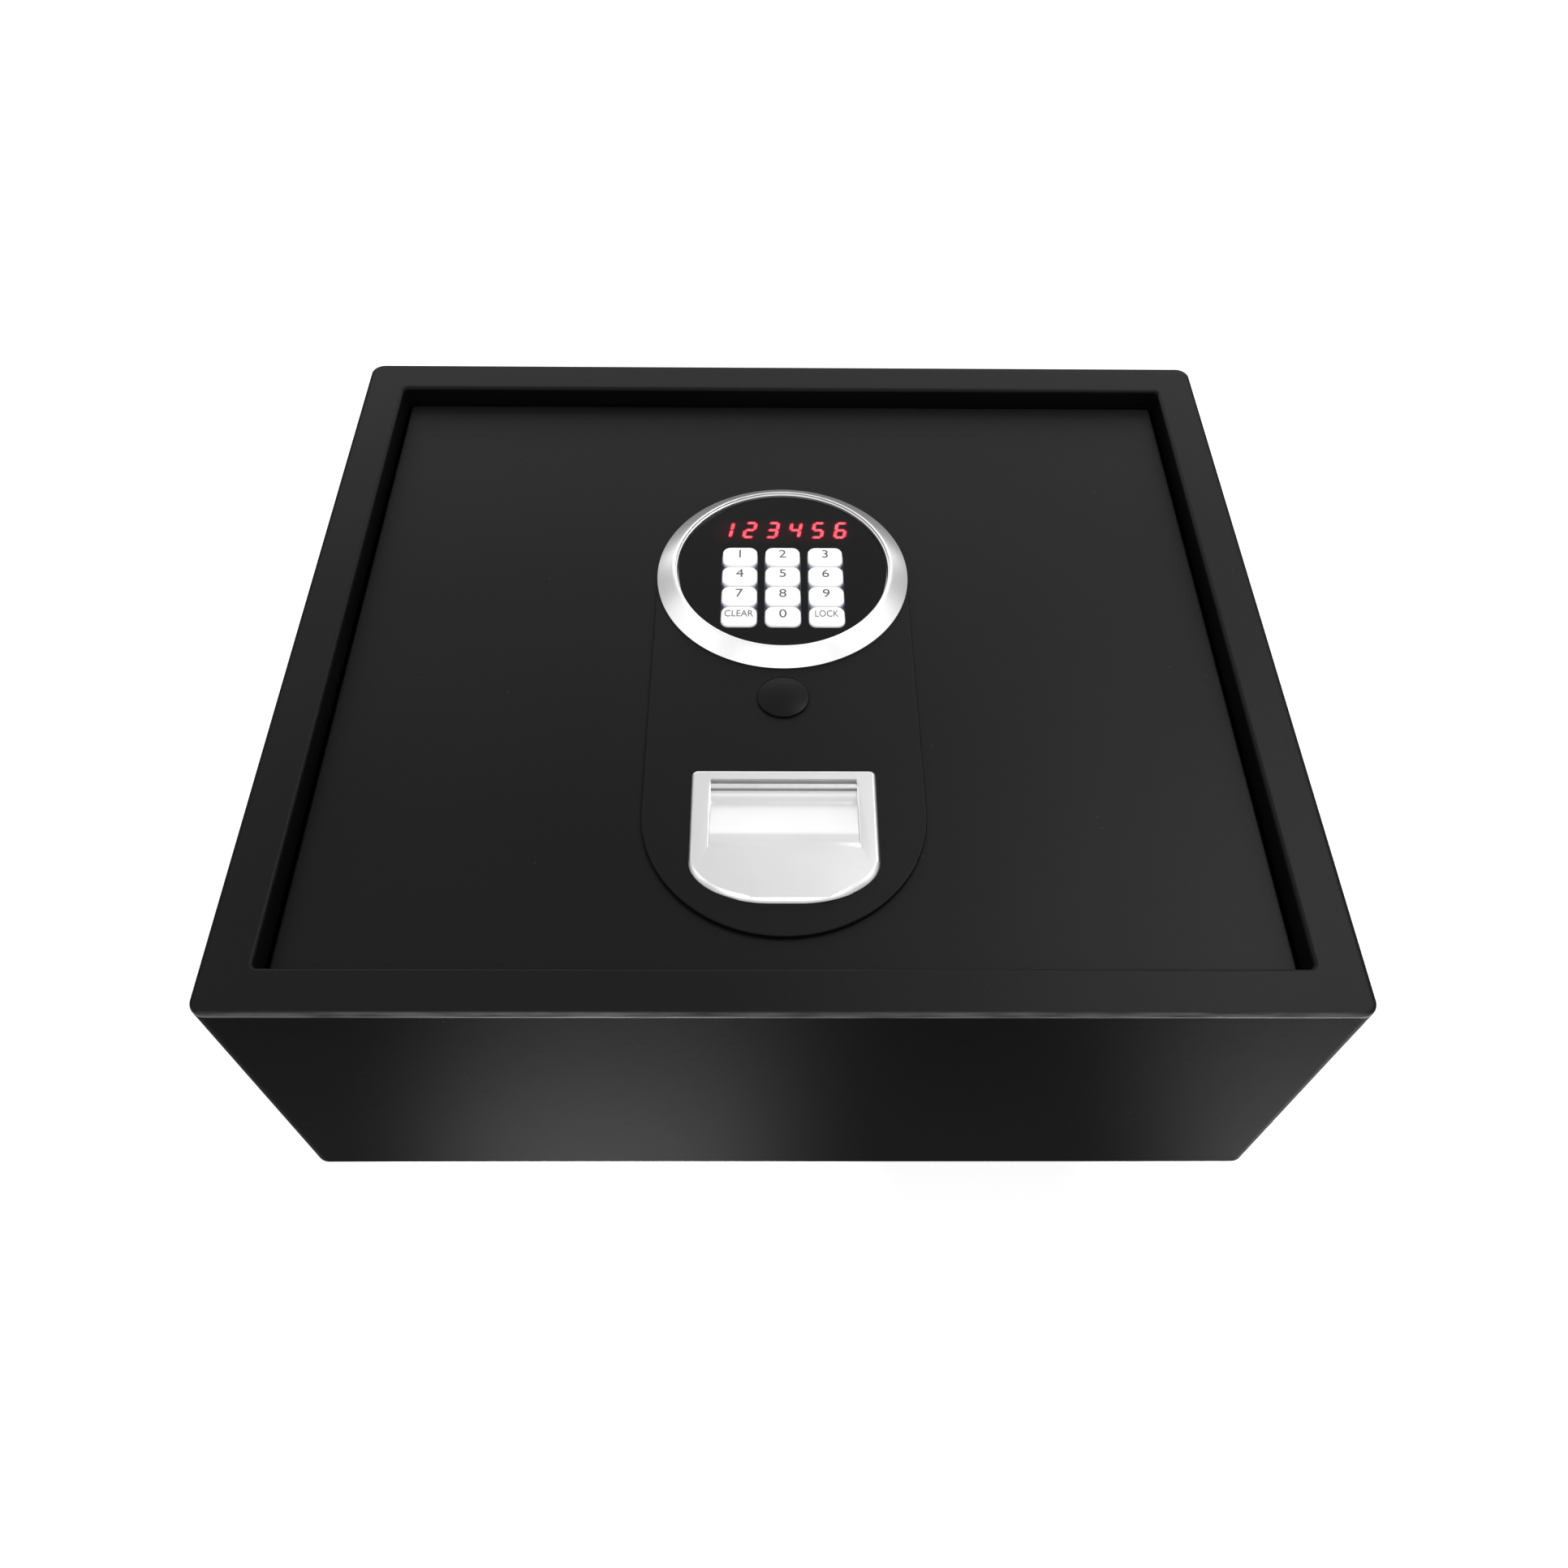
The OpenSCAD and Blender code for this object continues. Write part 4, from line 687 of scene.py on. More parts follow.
def wireTree():
    tree = Tree("drawWire", {
        "Thickness": ("Float", 0.002), "Sides": ("Int", 12), "Finish": ("Material", None)})
    path = tree.node("GeometryNodeMeshToCurve", inputs={0: tree.size("Geometry")})
    section = tree.node("GeometryNodeCurvePrimitiveCircle", inputs={
        "Resolution": tree.size("Sides"), "Radius": tree.size("Thickness") / 2})
    tree.finish(tree.node("GeometryNodeCurveToMesh", inputs={
        "Curve": path, "Profile Curve": section, "Fill Caps": True}))
    return tree


def baked(host):
    # the host's shape as a plain mesh; the host itself goes
    graph = bpy.context.evaluated_depsgraph_get()
    mesh = bpy.data.meshes.new_from_object(host.evaluated_get(graph))
    bpy.data.objects.remove(host)
    return mesh


def grow(name, seed, tree, values):
    # runs a tree on a seed mesh and keeps the result as a plain mesh
    host = addPiece(name + "Seed", seed)
    modifier = host.modifiers.new("nodes", "NODES")
    modifier.node_group = tree.tree
    for item in tree.tree.interface.items_tree:
        if item.item_type == "SOCKET" and item.in_out == "INPUT" and item.name in values:
            modifier[item.identifier] = values[item.name]
    mesh = baked(host)
    mesh.name = name
    return mesh


turning = turningTree()
setting = settingTree()
wiring = wireTree()


def turned(name, outline, centre, radius, finish, steps=192):
    # outline: closed list of (distance from the axis, height), turned about a vertical axis
    seed = meshFrom(name + "Seed", [(x - radius, -z, 0) for x, z in outline], [],
                    [(k, (k + 1) % len(outline)) for k in range(len(outline))])
    mesh = grow(name, seed, turning, {"Radius": radius, "Steps": steps, "Finish": finish})
    mesh.transform(Matrix.Translation(centre))
    tidyMesh(mesh, 5e-6, outward=True)
    return mesh


def setOut(name, spots, shape, finish, slant=0.0, line=0.0):
    # spots: (place, turn, reach) for each copy of a shape
    seed = meshFrom(name + "Seed", [spot[0] for spot in spots], [])
    for label, at in (("turn", 1), ("reach", 2)):
        values = seed.attributes.new(label, "FLOAT_VECTOR", "POINT")
        for k, spot in enumerate(spots):
            values.data[k].vector = spot[at]
    copy = addPiece(name + "Copy", shape)
    mesh = grow(name, seed, setting, {"Copy": copy, "Slant": slant, "Line": line, "Finish": finish})
    bpy.data.objects.remove(copy)
    return mesh


def joinMeshes(name, meshes):
    work = bmesh.new()
    for mesh in meshes:
        work.from_mesh(mesh)
    whole = bpy.data.meshes.new(name)
    work.to_mesh(whole)
    work.free()
    return whole


# Steel box, frame, lid and hinge

hinge = {
    "wire": 2.0, "coil": 5.6, "turns": 5.5, "pitch": 2.6,      # the spring, mm
    "start": -2.0, "inboard": 21.0,          # from the coil's middle and from the pin's end
    "upperLeg": (26.0, 14.0, 4.0), "lowerLeg": (4.0, 11.0, 18.0),
    "still": 1.2,                            # length of coil at each end that doesn't bend
    "stepsPerTurn": 24, "sides": 12,
}

dress("body_shell", shadedWallFinish, edge=0.3)
dress("base_plate", shadedWallFinish, edge=0.0)
dress("top_frame", frameFinish, edge=0.0)
dressAll({
    "strike_bracket": 0.1, "rest_brackets": 0.1, "lid_buffers": 0.4, "hinge_brackets": 0.25,
    "hinge_pins": 0.25, "hinge_clips": 0.12, "lid_plate": 0.0, "hinge_lugs": 0.25,
})


def springPath(side, axis):
    turnSteps = hinge["stepsPerTurn"]
    steps = round(hinge["turns"] * turnSteps)
    middle = side * axis["x"]
    coil = []
    for k in range(steps + 1):
        turn = radians(90 - 360 * k / turnSteps)
        x = middle + side * (hinge["start"] + hinge["pitch"] * k / turnSteps) * mm
        coil.append(Vector((x, axis["y"] + hinge["coil"] * mm * cos(turn),
                            axis["z"] + hinge["coil"] * mm * sin(turn))))
    upper = [coil[0] + Vector((0, -reach * mm, 0)) for reach in hinge["upperLeg"]]
    lower = [coil[-1] + Vector((0, -reach * mm, 0)) for reach in hinge["lowerLeg"]]
    return upper + coil + lower


def makeSprings():
    lidHinge = next(joint for joint in frame["joints"] if joint["name"] == "lid_hinge")
    axis = {"x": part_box("hinge_pins")[1].x - hinge["inboard"] * mm,
            "y": lidHinge["pos_m"][1], "z": lidHinge["pos_m"][2]}
    for side, name in ((1, "springRight"), (-1, "springLeft")):
        path = springPath(side, axis)
        seed = meshFrom(name + "Seed", path, [], [(k, k + 1) for k in range(len(path) - 1)])
        mesh = grow(name, seed, wiring, {"Thickness": hinge["wire"] * mm, "Sides": hinge["sides"],
                                         "Finish": finishes["spring_steel"]})
        tidyMesh(mesh, 1e-6, outward=True)
        smooth(mesh, 50)
        piece = addPiece(name, mesh)
        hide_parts("hinge_springs")
        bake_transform(piece)


makeSprings()
print("box, frame, lid and hinge dressed")


# Floor mat of needle felt

mat = {
    "holeRadius": 10.0, "holes": (130.0, 100.0), "holeSides": 32, "cornerRadius": 2.5,
    "cell": 5.0, "rimShare": 0.3,            # grid, and the share of it kept free round each hole
    "ripple": 0.35, "waves": (61, 37, 53, 29), "edgeDrop": 0.6,      # how the felt lies, waves per metre
}


def makeMat():
    low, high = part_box("floor_mat")
    width, length = (high - low).xy
    holeX, holeY = (size * mm for size in mat["holes"])
    middles = [(sx * holeX, sy * holeY) for sx in (-1, 1) for sy in (-1, 1)]
    radius, sides = mat["holeRadius"] * mm, mat["holeSides"]
    outlines = [[point[:2] for point in roundRing(width, length, mat["cornerRadius"] * mm, 0, 5)]]
    outlines += [[polar(middle, radius, 360 * k / sides) for k in range(sides)] for middle in middles]
    points, edges = [], []
    for outline in outlines:
        edges += [(len(points) + k, len(points) + (k + 1) % len(outline)) for k in range(len(outline))]
        points += outline
    cell = mat["cell"] * mm
    columns, rows = int(width / cell), int(length / cell)
    for i in range(1, columns):
        for j in range(1, rows):
            x, y = (i / columns - 0.5) * width, (j / rows - 0.5) * length
            away = min(hypot(x - cx, y - cy) for cx, cy in middles)
            if away > radius + mat["rimShare"] * cell:
                points.append((x, y))
    flat, faces = delaunay_2d_cdt([Vector(point) for point in points], edges, [], 1, 1e-6)[0:3:2]
    work = bmesh.new()
    corners = [work.verts.new((point.x, point.y, 0)) for point in flat]
    for face in faces:
        middle = sum((flat[k] for k in face), Vector((0, 0))) / len(face)
        if min((middle - Vector(spot)).length for spot in middles) > radius * 0.99:
            work.faces.new([corners[k] for k in face])
    bmesh.ops.delete(work, geom=[corner for corner in work.verts if not corner.link_faces], context="VERTS")
    bmesh.ops.recalc_face_normals(work, faces=work.faces)
    if sum(face.normal.z for face in work.faces) < 0:
        bmesh.ops.reverse_faces(work, faces=work.faces)
    border = {corner for corner in work.verts if corner.is_boundary}
    alongX, bendX, alongY, bendY = mat["waves"]
    for corner in work.verts:
        x, y = corner.co.xy
        lift = 0.5 + 0.5 * sin(x * alongX + 2 * sin(y * bendX)) * cos(y * alongY + sin(x * bendY))
        drop = mat["edgeDrop"] if corner in border else 0.0
        corner.co.z = high.z - (mat["ripple"] * lift + drop) * mm
    grown = bmesh.ops.extrude_face_region(work, geom=list(work.faces))
    for item in grown["geom"]:
        if isinstance(item, bmesh.types.BMVert):
            item.co.z = low.z
    bmesh.ops.recalc_face_normals(work, faces=work.faces)
    mesh = bpy.data.meshes.new("floorMat")
    work.to_mesh(mesh)
    work.free()
    smooth(mesh, 40)
    piece = settle(addPiece("floorMat", mesh, finishes["felt"]), "floor_mat")


makeMat()
print("floor mat laid")


# Fascia, bezel, finger pull and keyhole cap

bezel = {
    "footHeight": 0.9, "footRound": 0.15, "bow": 150.0,
    "crest": (1.8, 1.25), "crestRound": 0.22,          # reach out from the lens's edge, outside and inside
    "throat": ((1.19, 0.7), (1.05, 0.84)),             # reach and depth under the crest
    "step": (0.7, 0.98, 0.14), "lip": (0.4, 1.5),
    "seat": ((0.2, 0.02), (-1.35, 0.0), (-1.4, -0.05)),      # reach and height from the lens's underside
    "bosses": (30, 150, 270), "bossInset": 4.5, "bossRadius": 2.4, "bossChamfer": 0.2, "weld": 0.3,
    "turnRing": 4.0,          # how far in from the rim the profile's own axis lies
}


def makeBezel():
    low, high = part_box("bezel_ring")
    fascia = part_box("fascia_plate")[1].z
    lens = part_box("keypad_lens")
    height = (high.z - fascia) / mm
    outer = (high.x - low.x) / 2 / mm
    lensR = (lens[1].x - lens[0].x) / 2 / mm
    seat = (lens[0].z - fascia) / mm
    crestOut, crestIn = (lensR + width for width in bezel["crest"])
    foot, crest = Vector((outer, bezel["footHeight"])), Vector((crestOut, height))
    chord = crest - foot
    middle = (foot + crest) / 2
    reach = sqrt(bezel["bow"] ** 2 - chord.length_squared / 4)
    bow = middle - Vector((chord.y, -chord.x)).normalized() * reach
    start, end = (degrees(atan2(tip.y - bow.y, tip.x - bow.x)) for tip in (foot, crest))
    small = bezel["crestRound"]
    outline = [(outer - bezel["footRound"], 0.0), (outer, bezel["footRound"])]
    outline += arc(bow, bezel["bow"], start, end - 0.1, 10)
    outline += arc((crestOut - small * 0.9, height - small), small, 65, 90, 3)
    outline += arc((crestIn + small, height - small), small, 100, 180, 5)
    outline += [(lensR + out, height - down) for out, down in bezel["throat"]]
    out, down, small = bezel["step"]
    outline += arc((lensR + out, height - down), small, 90, 180, 4)
    out, down = bezel["lip"]
    outline.append((lensR + out, height - down))
    outline += [(lensR + out, seat + up) for out, up in bezel["seat"]]
    outline.append((outline[-1][0], 0.0))
    place = centreOf("bezel_ring")
    mesh = turned("bezelRing", [(x * mm, z * mm) for x, z in outline], (place.x, place.y, fascia),
                  (outer - bezel["turnRing"]) * mm, litBezelFinish, 256)
    parts = [mesh]
    radius, chamfer = bezel["bossRadius"] * mm, bezel["bossChamfer"] * mm
    sizes = ((radius - chamfer, low.z), (radius, low.z + chamfer), (radius, fascia + bezel["weld"] * mm))
    for angle in bezel["bosses"]:
        x, y = polar(place, (outer - bezel["bossInset"]) * mm, angle)
        rings = [[(x + px, y + py, pz) for px, py, pz in circleRing(size, z, 28)] for size, z in sizes]
        parts.append(tidyMesh(meshFrom("boss", *loft(rings)), 1e-7, outward=True))
    whole = joinMeshes("bezelRing", parts)
    smooth(whole, 40)
    settle(addPiece("bezelRing", whole, litBezelFinish), "bezel_ring")


cap = {
    "dome": 1.2, "rimHeight": 0.75, "rimRound": 0.3, "foot": 0.12,
    "skirt": 8.4, "skirtWall": 1.2, "skirtChamfer": 0.3,
}


def makeCap():
    low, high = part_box("keyhole_cap")
    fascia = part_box("fascia_plate")[1].z
    radius = (high.x - low.x) / 2 / mm
    top, skirtLow = (high.z - fascia) / mm, (low.z - fascia) / mm
    skirt, chamfer = cap["skirt"], cap["skirtChamfer"]
    small, foot = cap["rimRound"], cap["foot"]
    bore = skirt - cap["skirtWall"]
    domeR = (radius ** 2 + cap["dome"] ** 2) / (2 * cap["dome"])
    edge = degrees(asin((radius - small) / domeR))
    outline = arc((0, top - domeR), domeR, 90, 90 - edge, 20)
    outline += arc((radius - small, cap["rimHeight"]), small, 70, 0, 5)
    outline += [(radius, foot), (radius - foot, 0.0), (skirt, 0.0), (skirt, skirtLow + chamfer),
                (skirt - chamfer, skirtLow), (bore, skirtLow), (bore, 0.0), (0.0, 0.0)]
    place = centreOf("keyhole_cap")
    mesh = turned("keyholeCap", [(x * mm, z * mm) for x, z in outline], (place.x, place.y, fascia),
                  radius * mm, keyholeFinish, 128)
    smooth(mesh, 40)
    settle(addPiece("keyholeCap", mesh, keyholeFinish), "keyhole_cap")


scoop = {
    "width": 55.6, "front": 22.9, "rear": 55.3, "floor": 12.8,      # the cup's own sizes, mm
    # length, first and last slope: lip, ramp, heel and the wall behind the fingertips
    "run": ((6.6, 2, 7), (15.6, 15, 13), (2.4, 13, -20), (8.0, -20, -56), (4.0, -56, -78)),
    "steps": 10, "heelTop": 2.3, "lip": 0.4,
    "ledge": (50.6, 52.4, 2.1, 0.9),       # step under the window's rear edge: from, to, lowest and top
    "ledgeRound": (0.3, 0.1),
}


def makeScoop():
    # the cup's lining: a ramp that leaves the plate gently and turns up at the back
    low, high = (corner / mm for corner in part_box("finger_pull"))
    y, z = low.y + scoop["front"], high.z
    end = low.y + scoop["rear"]
    under = z - scoop["floor"]
    outline, steps = [(y, z)], scoop["steps"]
    for length, first, last in scoop["run"]:
        for k in range(steps):
            slope = radians(first + (last - first) * (k + 0.5) / steps)
            y += length / steps * cos(slope)
            z -= length / steps * sin(slope)
            if y < end and z < high.z - scoop["heelTop"] or len(outline) < 2 * steps:
                outline.append((y, z))
    outline += [(end, outline[-1][1]), (end, under), (outline[0][0] + scoop["lip"], under)]
    fore, aft = (low.y + reach for reach in scoop["ledge"][:2])
    lowest, top = (high.z - depth for depth in scoop["ledge"][2:])
    wide, small = scoop["ledgeRound"]
    ledge = [(fore, lowest), (fore, top - wide), (fore + small, top - small), (fore + wide, top),
             (aft, top), (aft, lowest)]
    half = scoop["width"] / 2
    for name, section in (("scoopLining", outline), ("scoopLedge", ledge)):
        count = len(section)
        sides = [[(x * mm, y * mm, z * mm) for y, z in section] for x in (-half, half)]
        points, faces = loft(sides, closed=False)
        faces += [tuple(range(count)), tuple(range(2 * count - 1, count - 1, -1))]
        mesh = tidyMesh(meshFrom(name, points, faces), 1e-7, outward=True)
        smooth(mesh, 35)
        settle(addPiece(name, mesh, finishes["satin_metal"]), "finger_pull", stands=False)


fingerPull = {
    "corner": 18.0,           # radius of the plate's front corners, before they are eased
    "bow": (30.0, 18.0),      # half axes of the eased corners, across and along
    "round": 1.4,             # round edge of the plate
    "bevel": (2.1, 1.75),     # width and height of the broad bevel round the front
    "flat": 0.75,             # share of the bevel that is straight
    "fade": 0.6,              # how far forward the edge has to face to get the whole bevel
    "band": 2.25, "cuts": range(-16, 17, 2),      # depth that is reshaped, and cuts across the front
}


def bowFront(work):
    # the plate's front corners eased into a bow, with a broad bevel along them
    low, high = (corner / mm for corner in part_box("finger_pull"))
    half, corner, edge = high.x, fingerPull["corner"], fingerPull["round"]
    across, along = fingerPull["bow"]
    for x in fingerPull["cuts"]:
        bmesh.ops.bisect_plane(work, geom=work.verts[:] + work.edges[:] + work.faces[:], dist=1e-7,
                               plane_co=(x * mm, 0, 0), plane_no=(1, 0, 0))
    for vert in work.verts:
        x, y, z = vert.co / mm
        side = copysign(1, x)
        outward = Vector((max(0, abs(x) - half + corner), min(0, y - low.y - corner)))
        if z < high.z - fingerPull["band"] or y > low.y + corner:
            continue
        if abs(x) < half - corner:
            inset, rim = y - low.y, abs(x)
        else:
            inset, rim = corner - outward.length, half - corner + corner * outward.normalized().x
        if inset > edge + 0.05:
            continue
        u = min(1, max(0, (rim - half + across) / across))
        v = sqrt(1 - u * u)
        inward = Vector((-u / across, v / along)).normalized()
        broad = min(1, max(0, inward.y / fingerPull["fade"]))
        width = edge + broad * (fingerPull["bevel"][0] - edge)
        height = edge + broad * (fingerPull["bevel"][1] - edge)
        turn = acos(min(1, max(-1, 1 - inset / edge))) if z > high.z - edge - 0.01 else 0
        step = fingerPull["flat"] * turn / radians(90)
        bent = 1 - fingerPull["flat"]
        inset = width * (step + bent * (1 - cos(turn)))
        if z > high.z - edge - 0.01:
            z = high.z - height * (1 - step - bent * sin(turn))
        place = Vector((rim, low.y + along * (1 - v))) + inset * inward
        vert.co = Vector((side * place.x, place.y, z)) * mm


dress("fascia_plate", edge=0.0)
makeBezel()
dress("finger_pull", pullFinish, edge=0.0, angle=40, reshape=bowFront)
makeScoop()
makeCap()
print("fascia, bezel, finger pull and cap done")


# Keypad: lens, display and twelve keys

display = {
    "digits": "123456", "pitch": 10.0, "height": 10.4, "width": 5.5, "bar": 1.45, "slant": 9.0,
    "shift": (0.6, 0.65), "gap": 0.25, "proud": 0.03, "halo": 1.0,
    "lifts": (0.006, 0.016), "layer": 0.001,       # haloes and cores over the lens, and between haloes
}
segmentsOf = {"1": "bc", "2": "abged", "3": "abgcd", "4": "fgbc", "5": "afgcd", "6": "afgecd"}


def barMesh(length, thick, rise):
    half, side = length / 2, thick / 2
    inner = half - side
    outline = [(-half, 0), (-inner, -side), (inner, -side), (half, 0), (inner, side), (-inner, side)]
    points, faces = loft([[(x, y, z) for x, y in outline] for z in (0, rise)])
    return tidyMesh(meshFrom("bar", points, faces), 1e-8, outward=True)


haloRings = ((0.0, 1.0), (0.3, 0.62), (0.62, 0.25), (1.0, 0.0))       # reach and brightness


def haloMesh(length, thick, spread):
    half, side = length / 2, thick / 2
    points, faces, glow = [], [], []
    count = 24
    for share, value in haloRings:
        for x, y, z in circleRing(side + spread * share, 0, count):
            points.append((x + copysign(half - side, x), y, z))
            glow.append(value)
    for ring in range(len(haloRings) - 1):
        for k in range(count):
            a, b = ring * count + k, ring * count + (k + 1) % count
            faces.append((a, a + count, b + count, b))
    faces.append(tuple(range(count)))
    mesh = meshFrom("halo", points, faces)
    values = mesh.attributes.new("glow", "FLOAT", "POINT")
    values.data.foreach_set("value", glow)
    return mesh


def makeDisplay():
    dress("display_module", edge=0.0)
    middle = centreOf("display_module")
    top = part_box("keypad_lens")[1].z
    tall, wide = display["height"] * mm, (display["width"] - display["bar"]) * mm
    half = (tall - display["bar"] * mm) / 2
    gap = display["gap"] * mm
    unit = half - gap
    haloLift, coreLift = (lift * mm for lift in display["lifts"])
    layer = display["layer"] * mm
    places = {
        "a": (0, half, 0), "g": (0, 0, 0), "d": (0, -half, 0),
        "b": (wide / 2, half / 2, 90), "c": (wide / 2, -half / 2, 90),
        "f": (-wide / 2, half / 2, 90), "e": (-wide / 2, -half / 2, 90),
    }
    cores, halos = [], []
    for at, digit in enumerate(display["digits"]):
        cx = middle.x + ((at - 2.5) * display["pitch"] + display["shift"][0]) * mm
        cy = middle.y + display["shift"][1] * mm
        for order, letter in enumerate(segmentsOf[digit]):
            x, y, turn = places[letter]
            reach = 1.0 if turn else (wide - gap) / unit
            facing = (0, 0, radians(turn))
            halos.append(((cx + x, cy + y, top + haloLift + order * layer), facing, (reach, 1, 1)))
            cores.append(((cx + x, cy + y, top + coreLift), facing, (reach, 1, 1)))
    slant = tan(radians(display["slant"]))
    core, halo = (shape(unit, display["bar"] * mm, display[size] * mm)
                  for shape, size in ((barMesh, "proud"), (haloMesh, "halo")))
    lit = setOut("litSegments", cores, core, coreFinish, slant, middle.y)
    glow = setOut("segmentGlow", halos, halo, haloFinish, slant, middle.y)
    settle(addPiece("litSegments", lit, coreFinish), "display_module", stands=False)
    settle(addPiece("segmentGlow", glow, haloFinish), "display_module", stands=False)


key = {
    "radius": 3.4, "edge": 0.85, "foot": 0.15, "crown": 0.28, "edgeSteps": 5, "topSteps": 6,
    "ear": (0.9, 4.6), "earRound": 0.4, "earUnder": (1.2, 0.1),       # under the lens: foot and top
    "labelShift": 1.35, "labelProud": 0.05, "labelSunk": 0.02, "digitHeight": 4.7, "wordHeight": 3.7,
    "words": {"clear": ("CLEAR", 12.0), "lock": ("LOCK", 9.84)},
}


def crownDrop(x, y, width, length):
    # how far the key's top falls below its middle
    return key["crown"] * mm * (0.6 * (2 * x / width) ** 2 + 0.4 * (2 * y / length) ** 2)


lettering = {"weight": 0.001, "depth": 0.002, "curveSteps": 6, "spread": 1.05}


def letterMesh(words, height, width=None):
    curve = bpy.data.curves.new("letters", "FONT")
    curve.body = words
    curve.align_x = "CENTER"
    curve.offset = lettering["weight"]
    curve.extrude = lettering["depth"]
    curve.resolution_u = lettering["curveSteps"]
    mesh = baked(addPiece("letters", curve))
    xs = [point.co.x for point in mesh.vertices]
    ys = [point.co.y for point in mesh.vertices]
    scaleY = height / (max(ys) - min(ys))
    scaleX = width / (max(xs) - min(xs)) if width else scaleY * lettering["spread"]
    mesh.transform(Matrix.Translation((-(max(xs) + min(xs)) / 2, -(max(ys) + min(ys)) / 2, 0)))
    mesh.transform(Matrix.Diagonal((scaleX, scaleY, scaleY, 1)))
    return tidyMesh(mesh, 1e-7)


def makeKey(name):
    node = "key_" + name
    low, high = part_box(node)
    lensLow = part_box("keypad_lens")[0].z
    middle = centreOf(node)
    earOut, earWidth = (size * mm for size in key["ear"])
    width, length = high.x - low.x - 2 * earOut, high.y - low.y
    top, base = high.z, low.z
    edge, radius = key["edge"] * mm, key["radius"] * mm
    foot = key["foot"] * mm
    rings = [roundRing(width - 2 * foot, length - 2 * foot, radius - foot, base),
             roundRing(width, length, radius, base + foot)]
    for k in range(key["edgeSteps"] + 1):
        turn = radians(90 * k / key["edgeSteps"])
        inset = edge * (1 - cos(turn))
        drop = key["crown"] * mm + edge * (1 - sin(turn))
        rings.append(roundRing(width - 2 * inset, length - 2 * inset, radius - inset, top - drop))
    flatW, flatL = width - 2 * edge, length - 2 * edge
    for k in range(1, key["topSteps"]):
        share = 1 - k / key["topSteps"]
        corner = (radius - edge) * share
        ring = [point[:2] for point in roundRing(flatW * share, flatL * share, corner, 0)]
        rings.append([(x, y, top - crownDrop(x, y, flatW, flatL)) for x, y in ring])
    points, faces = loft(rings)
    points[-1] = Vector((0, 0, top))
    body = tidyMesh(meshFrom(node, points, faces), 1e-7, outward=True)
    points, faces = loft([roundRing(width + 2 * earOut, earWidth, key["earRound"] * mm, lensLow - under * mm)
                          for under in key["earUnder"]])
    ears = tidyMesh(meshFrom(node, points, faces), 1e-7, outward=True)
    if name in key["words"]:
        word, wide = key["words"][name]
        label = letterMesh(word, key["wordHeight"] * mm, wide * mm)
    else:
        label = letterMesh(name, key["digitHeight"] * mm)
    for point in label.vertices:
        point.co.y += key["labelShift"] * mm
        above = (key["labelProud"] if point.co.z > 0 else -key["labelSunk"]) * mm
        point.co.z = top - crownDrop(point.co.x, point.co.y, flatW, flatL) + above
    # a face keeps its slot in the joined mesh only if each part has both slots before
    for mesh, at in ((body, 0), (ears, 0), (label, 1)):
        addFinishes(mesh, finishes["white_key"], inkFinish)
        for face in mesh.polygons:
            face.material_index = at
            face.use_smooth = True
    whole = joinMeshes(pieceName(node), [body, ears, label])
    addFinishes(whole, finishes["white_key"], inkFinish)
    whole.transform(Matrix.Translation((middle.x, middle.y, 0)))
    whole.set_sharp_from_angle(angle=radians(50))
    settle(addPiece(pieceName(node), whole), node)


dressAll({"keypad_lens": 0.0, "keypad_housing": 0.2, "key_mat": 0.0, "keypad_board": 0.1})
makeDisplay()
for nodeName in frame["nodes"]:
    if nodeName.startswith("key_") and nodeName != "key_mat":
        makeKey(nodeName[4:])
print("keypad assembled")


# Lock works under the lid

dressAll({
    "override_barrel": 0.2, "override_core": 0.15, "override_cam": 0.2, "lock_chassis": 0.0,
    "bolt_bushings": 0.25, "guide_posts": 0.2, "bolt_carriage": 0.1, "locking_bolts": 0.2,
    "drive_rack": 0.08, "drive_pinion": 0.08, "output_shaft": 0.1, "gear_motor": 0.0, "motor_clamp": 0.0,
    "control_board": 0.1, "battery_case": 0.2, "battery_cells": 0.3, "reset_switch": 0.15,
    "ribbon_cable": 0.1, "battery_door": 0.0, "reset_button": 0.3, "battery_contacts": 0.1,
})
dress("lock_cover", coverFinish, edge=0.3)


screwShape = {
    "point": (0.6, 0.4), "root": 0.86,       # shares of the shank's radius: the point, the thread's root
    "crown": 0.45, "socket": 0.55,           # shares of the head's radius
    "side": 0.45, "floor": (0.42, 0.36),     # shares of the head's height, from its seat
    "floorMiddle": 0.3,                      # share of the socket's radius
    "edge": 0.1, "socketEdge": 0.08, "gap": 0.01, "domeSteps": 4,
}


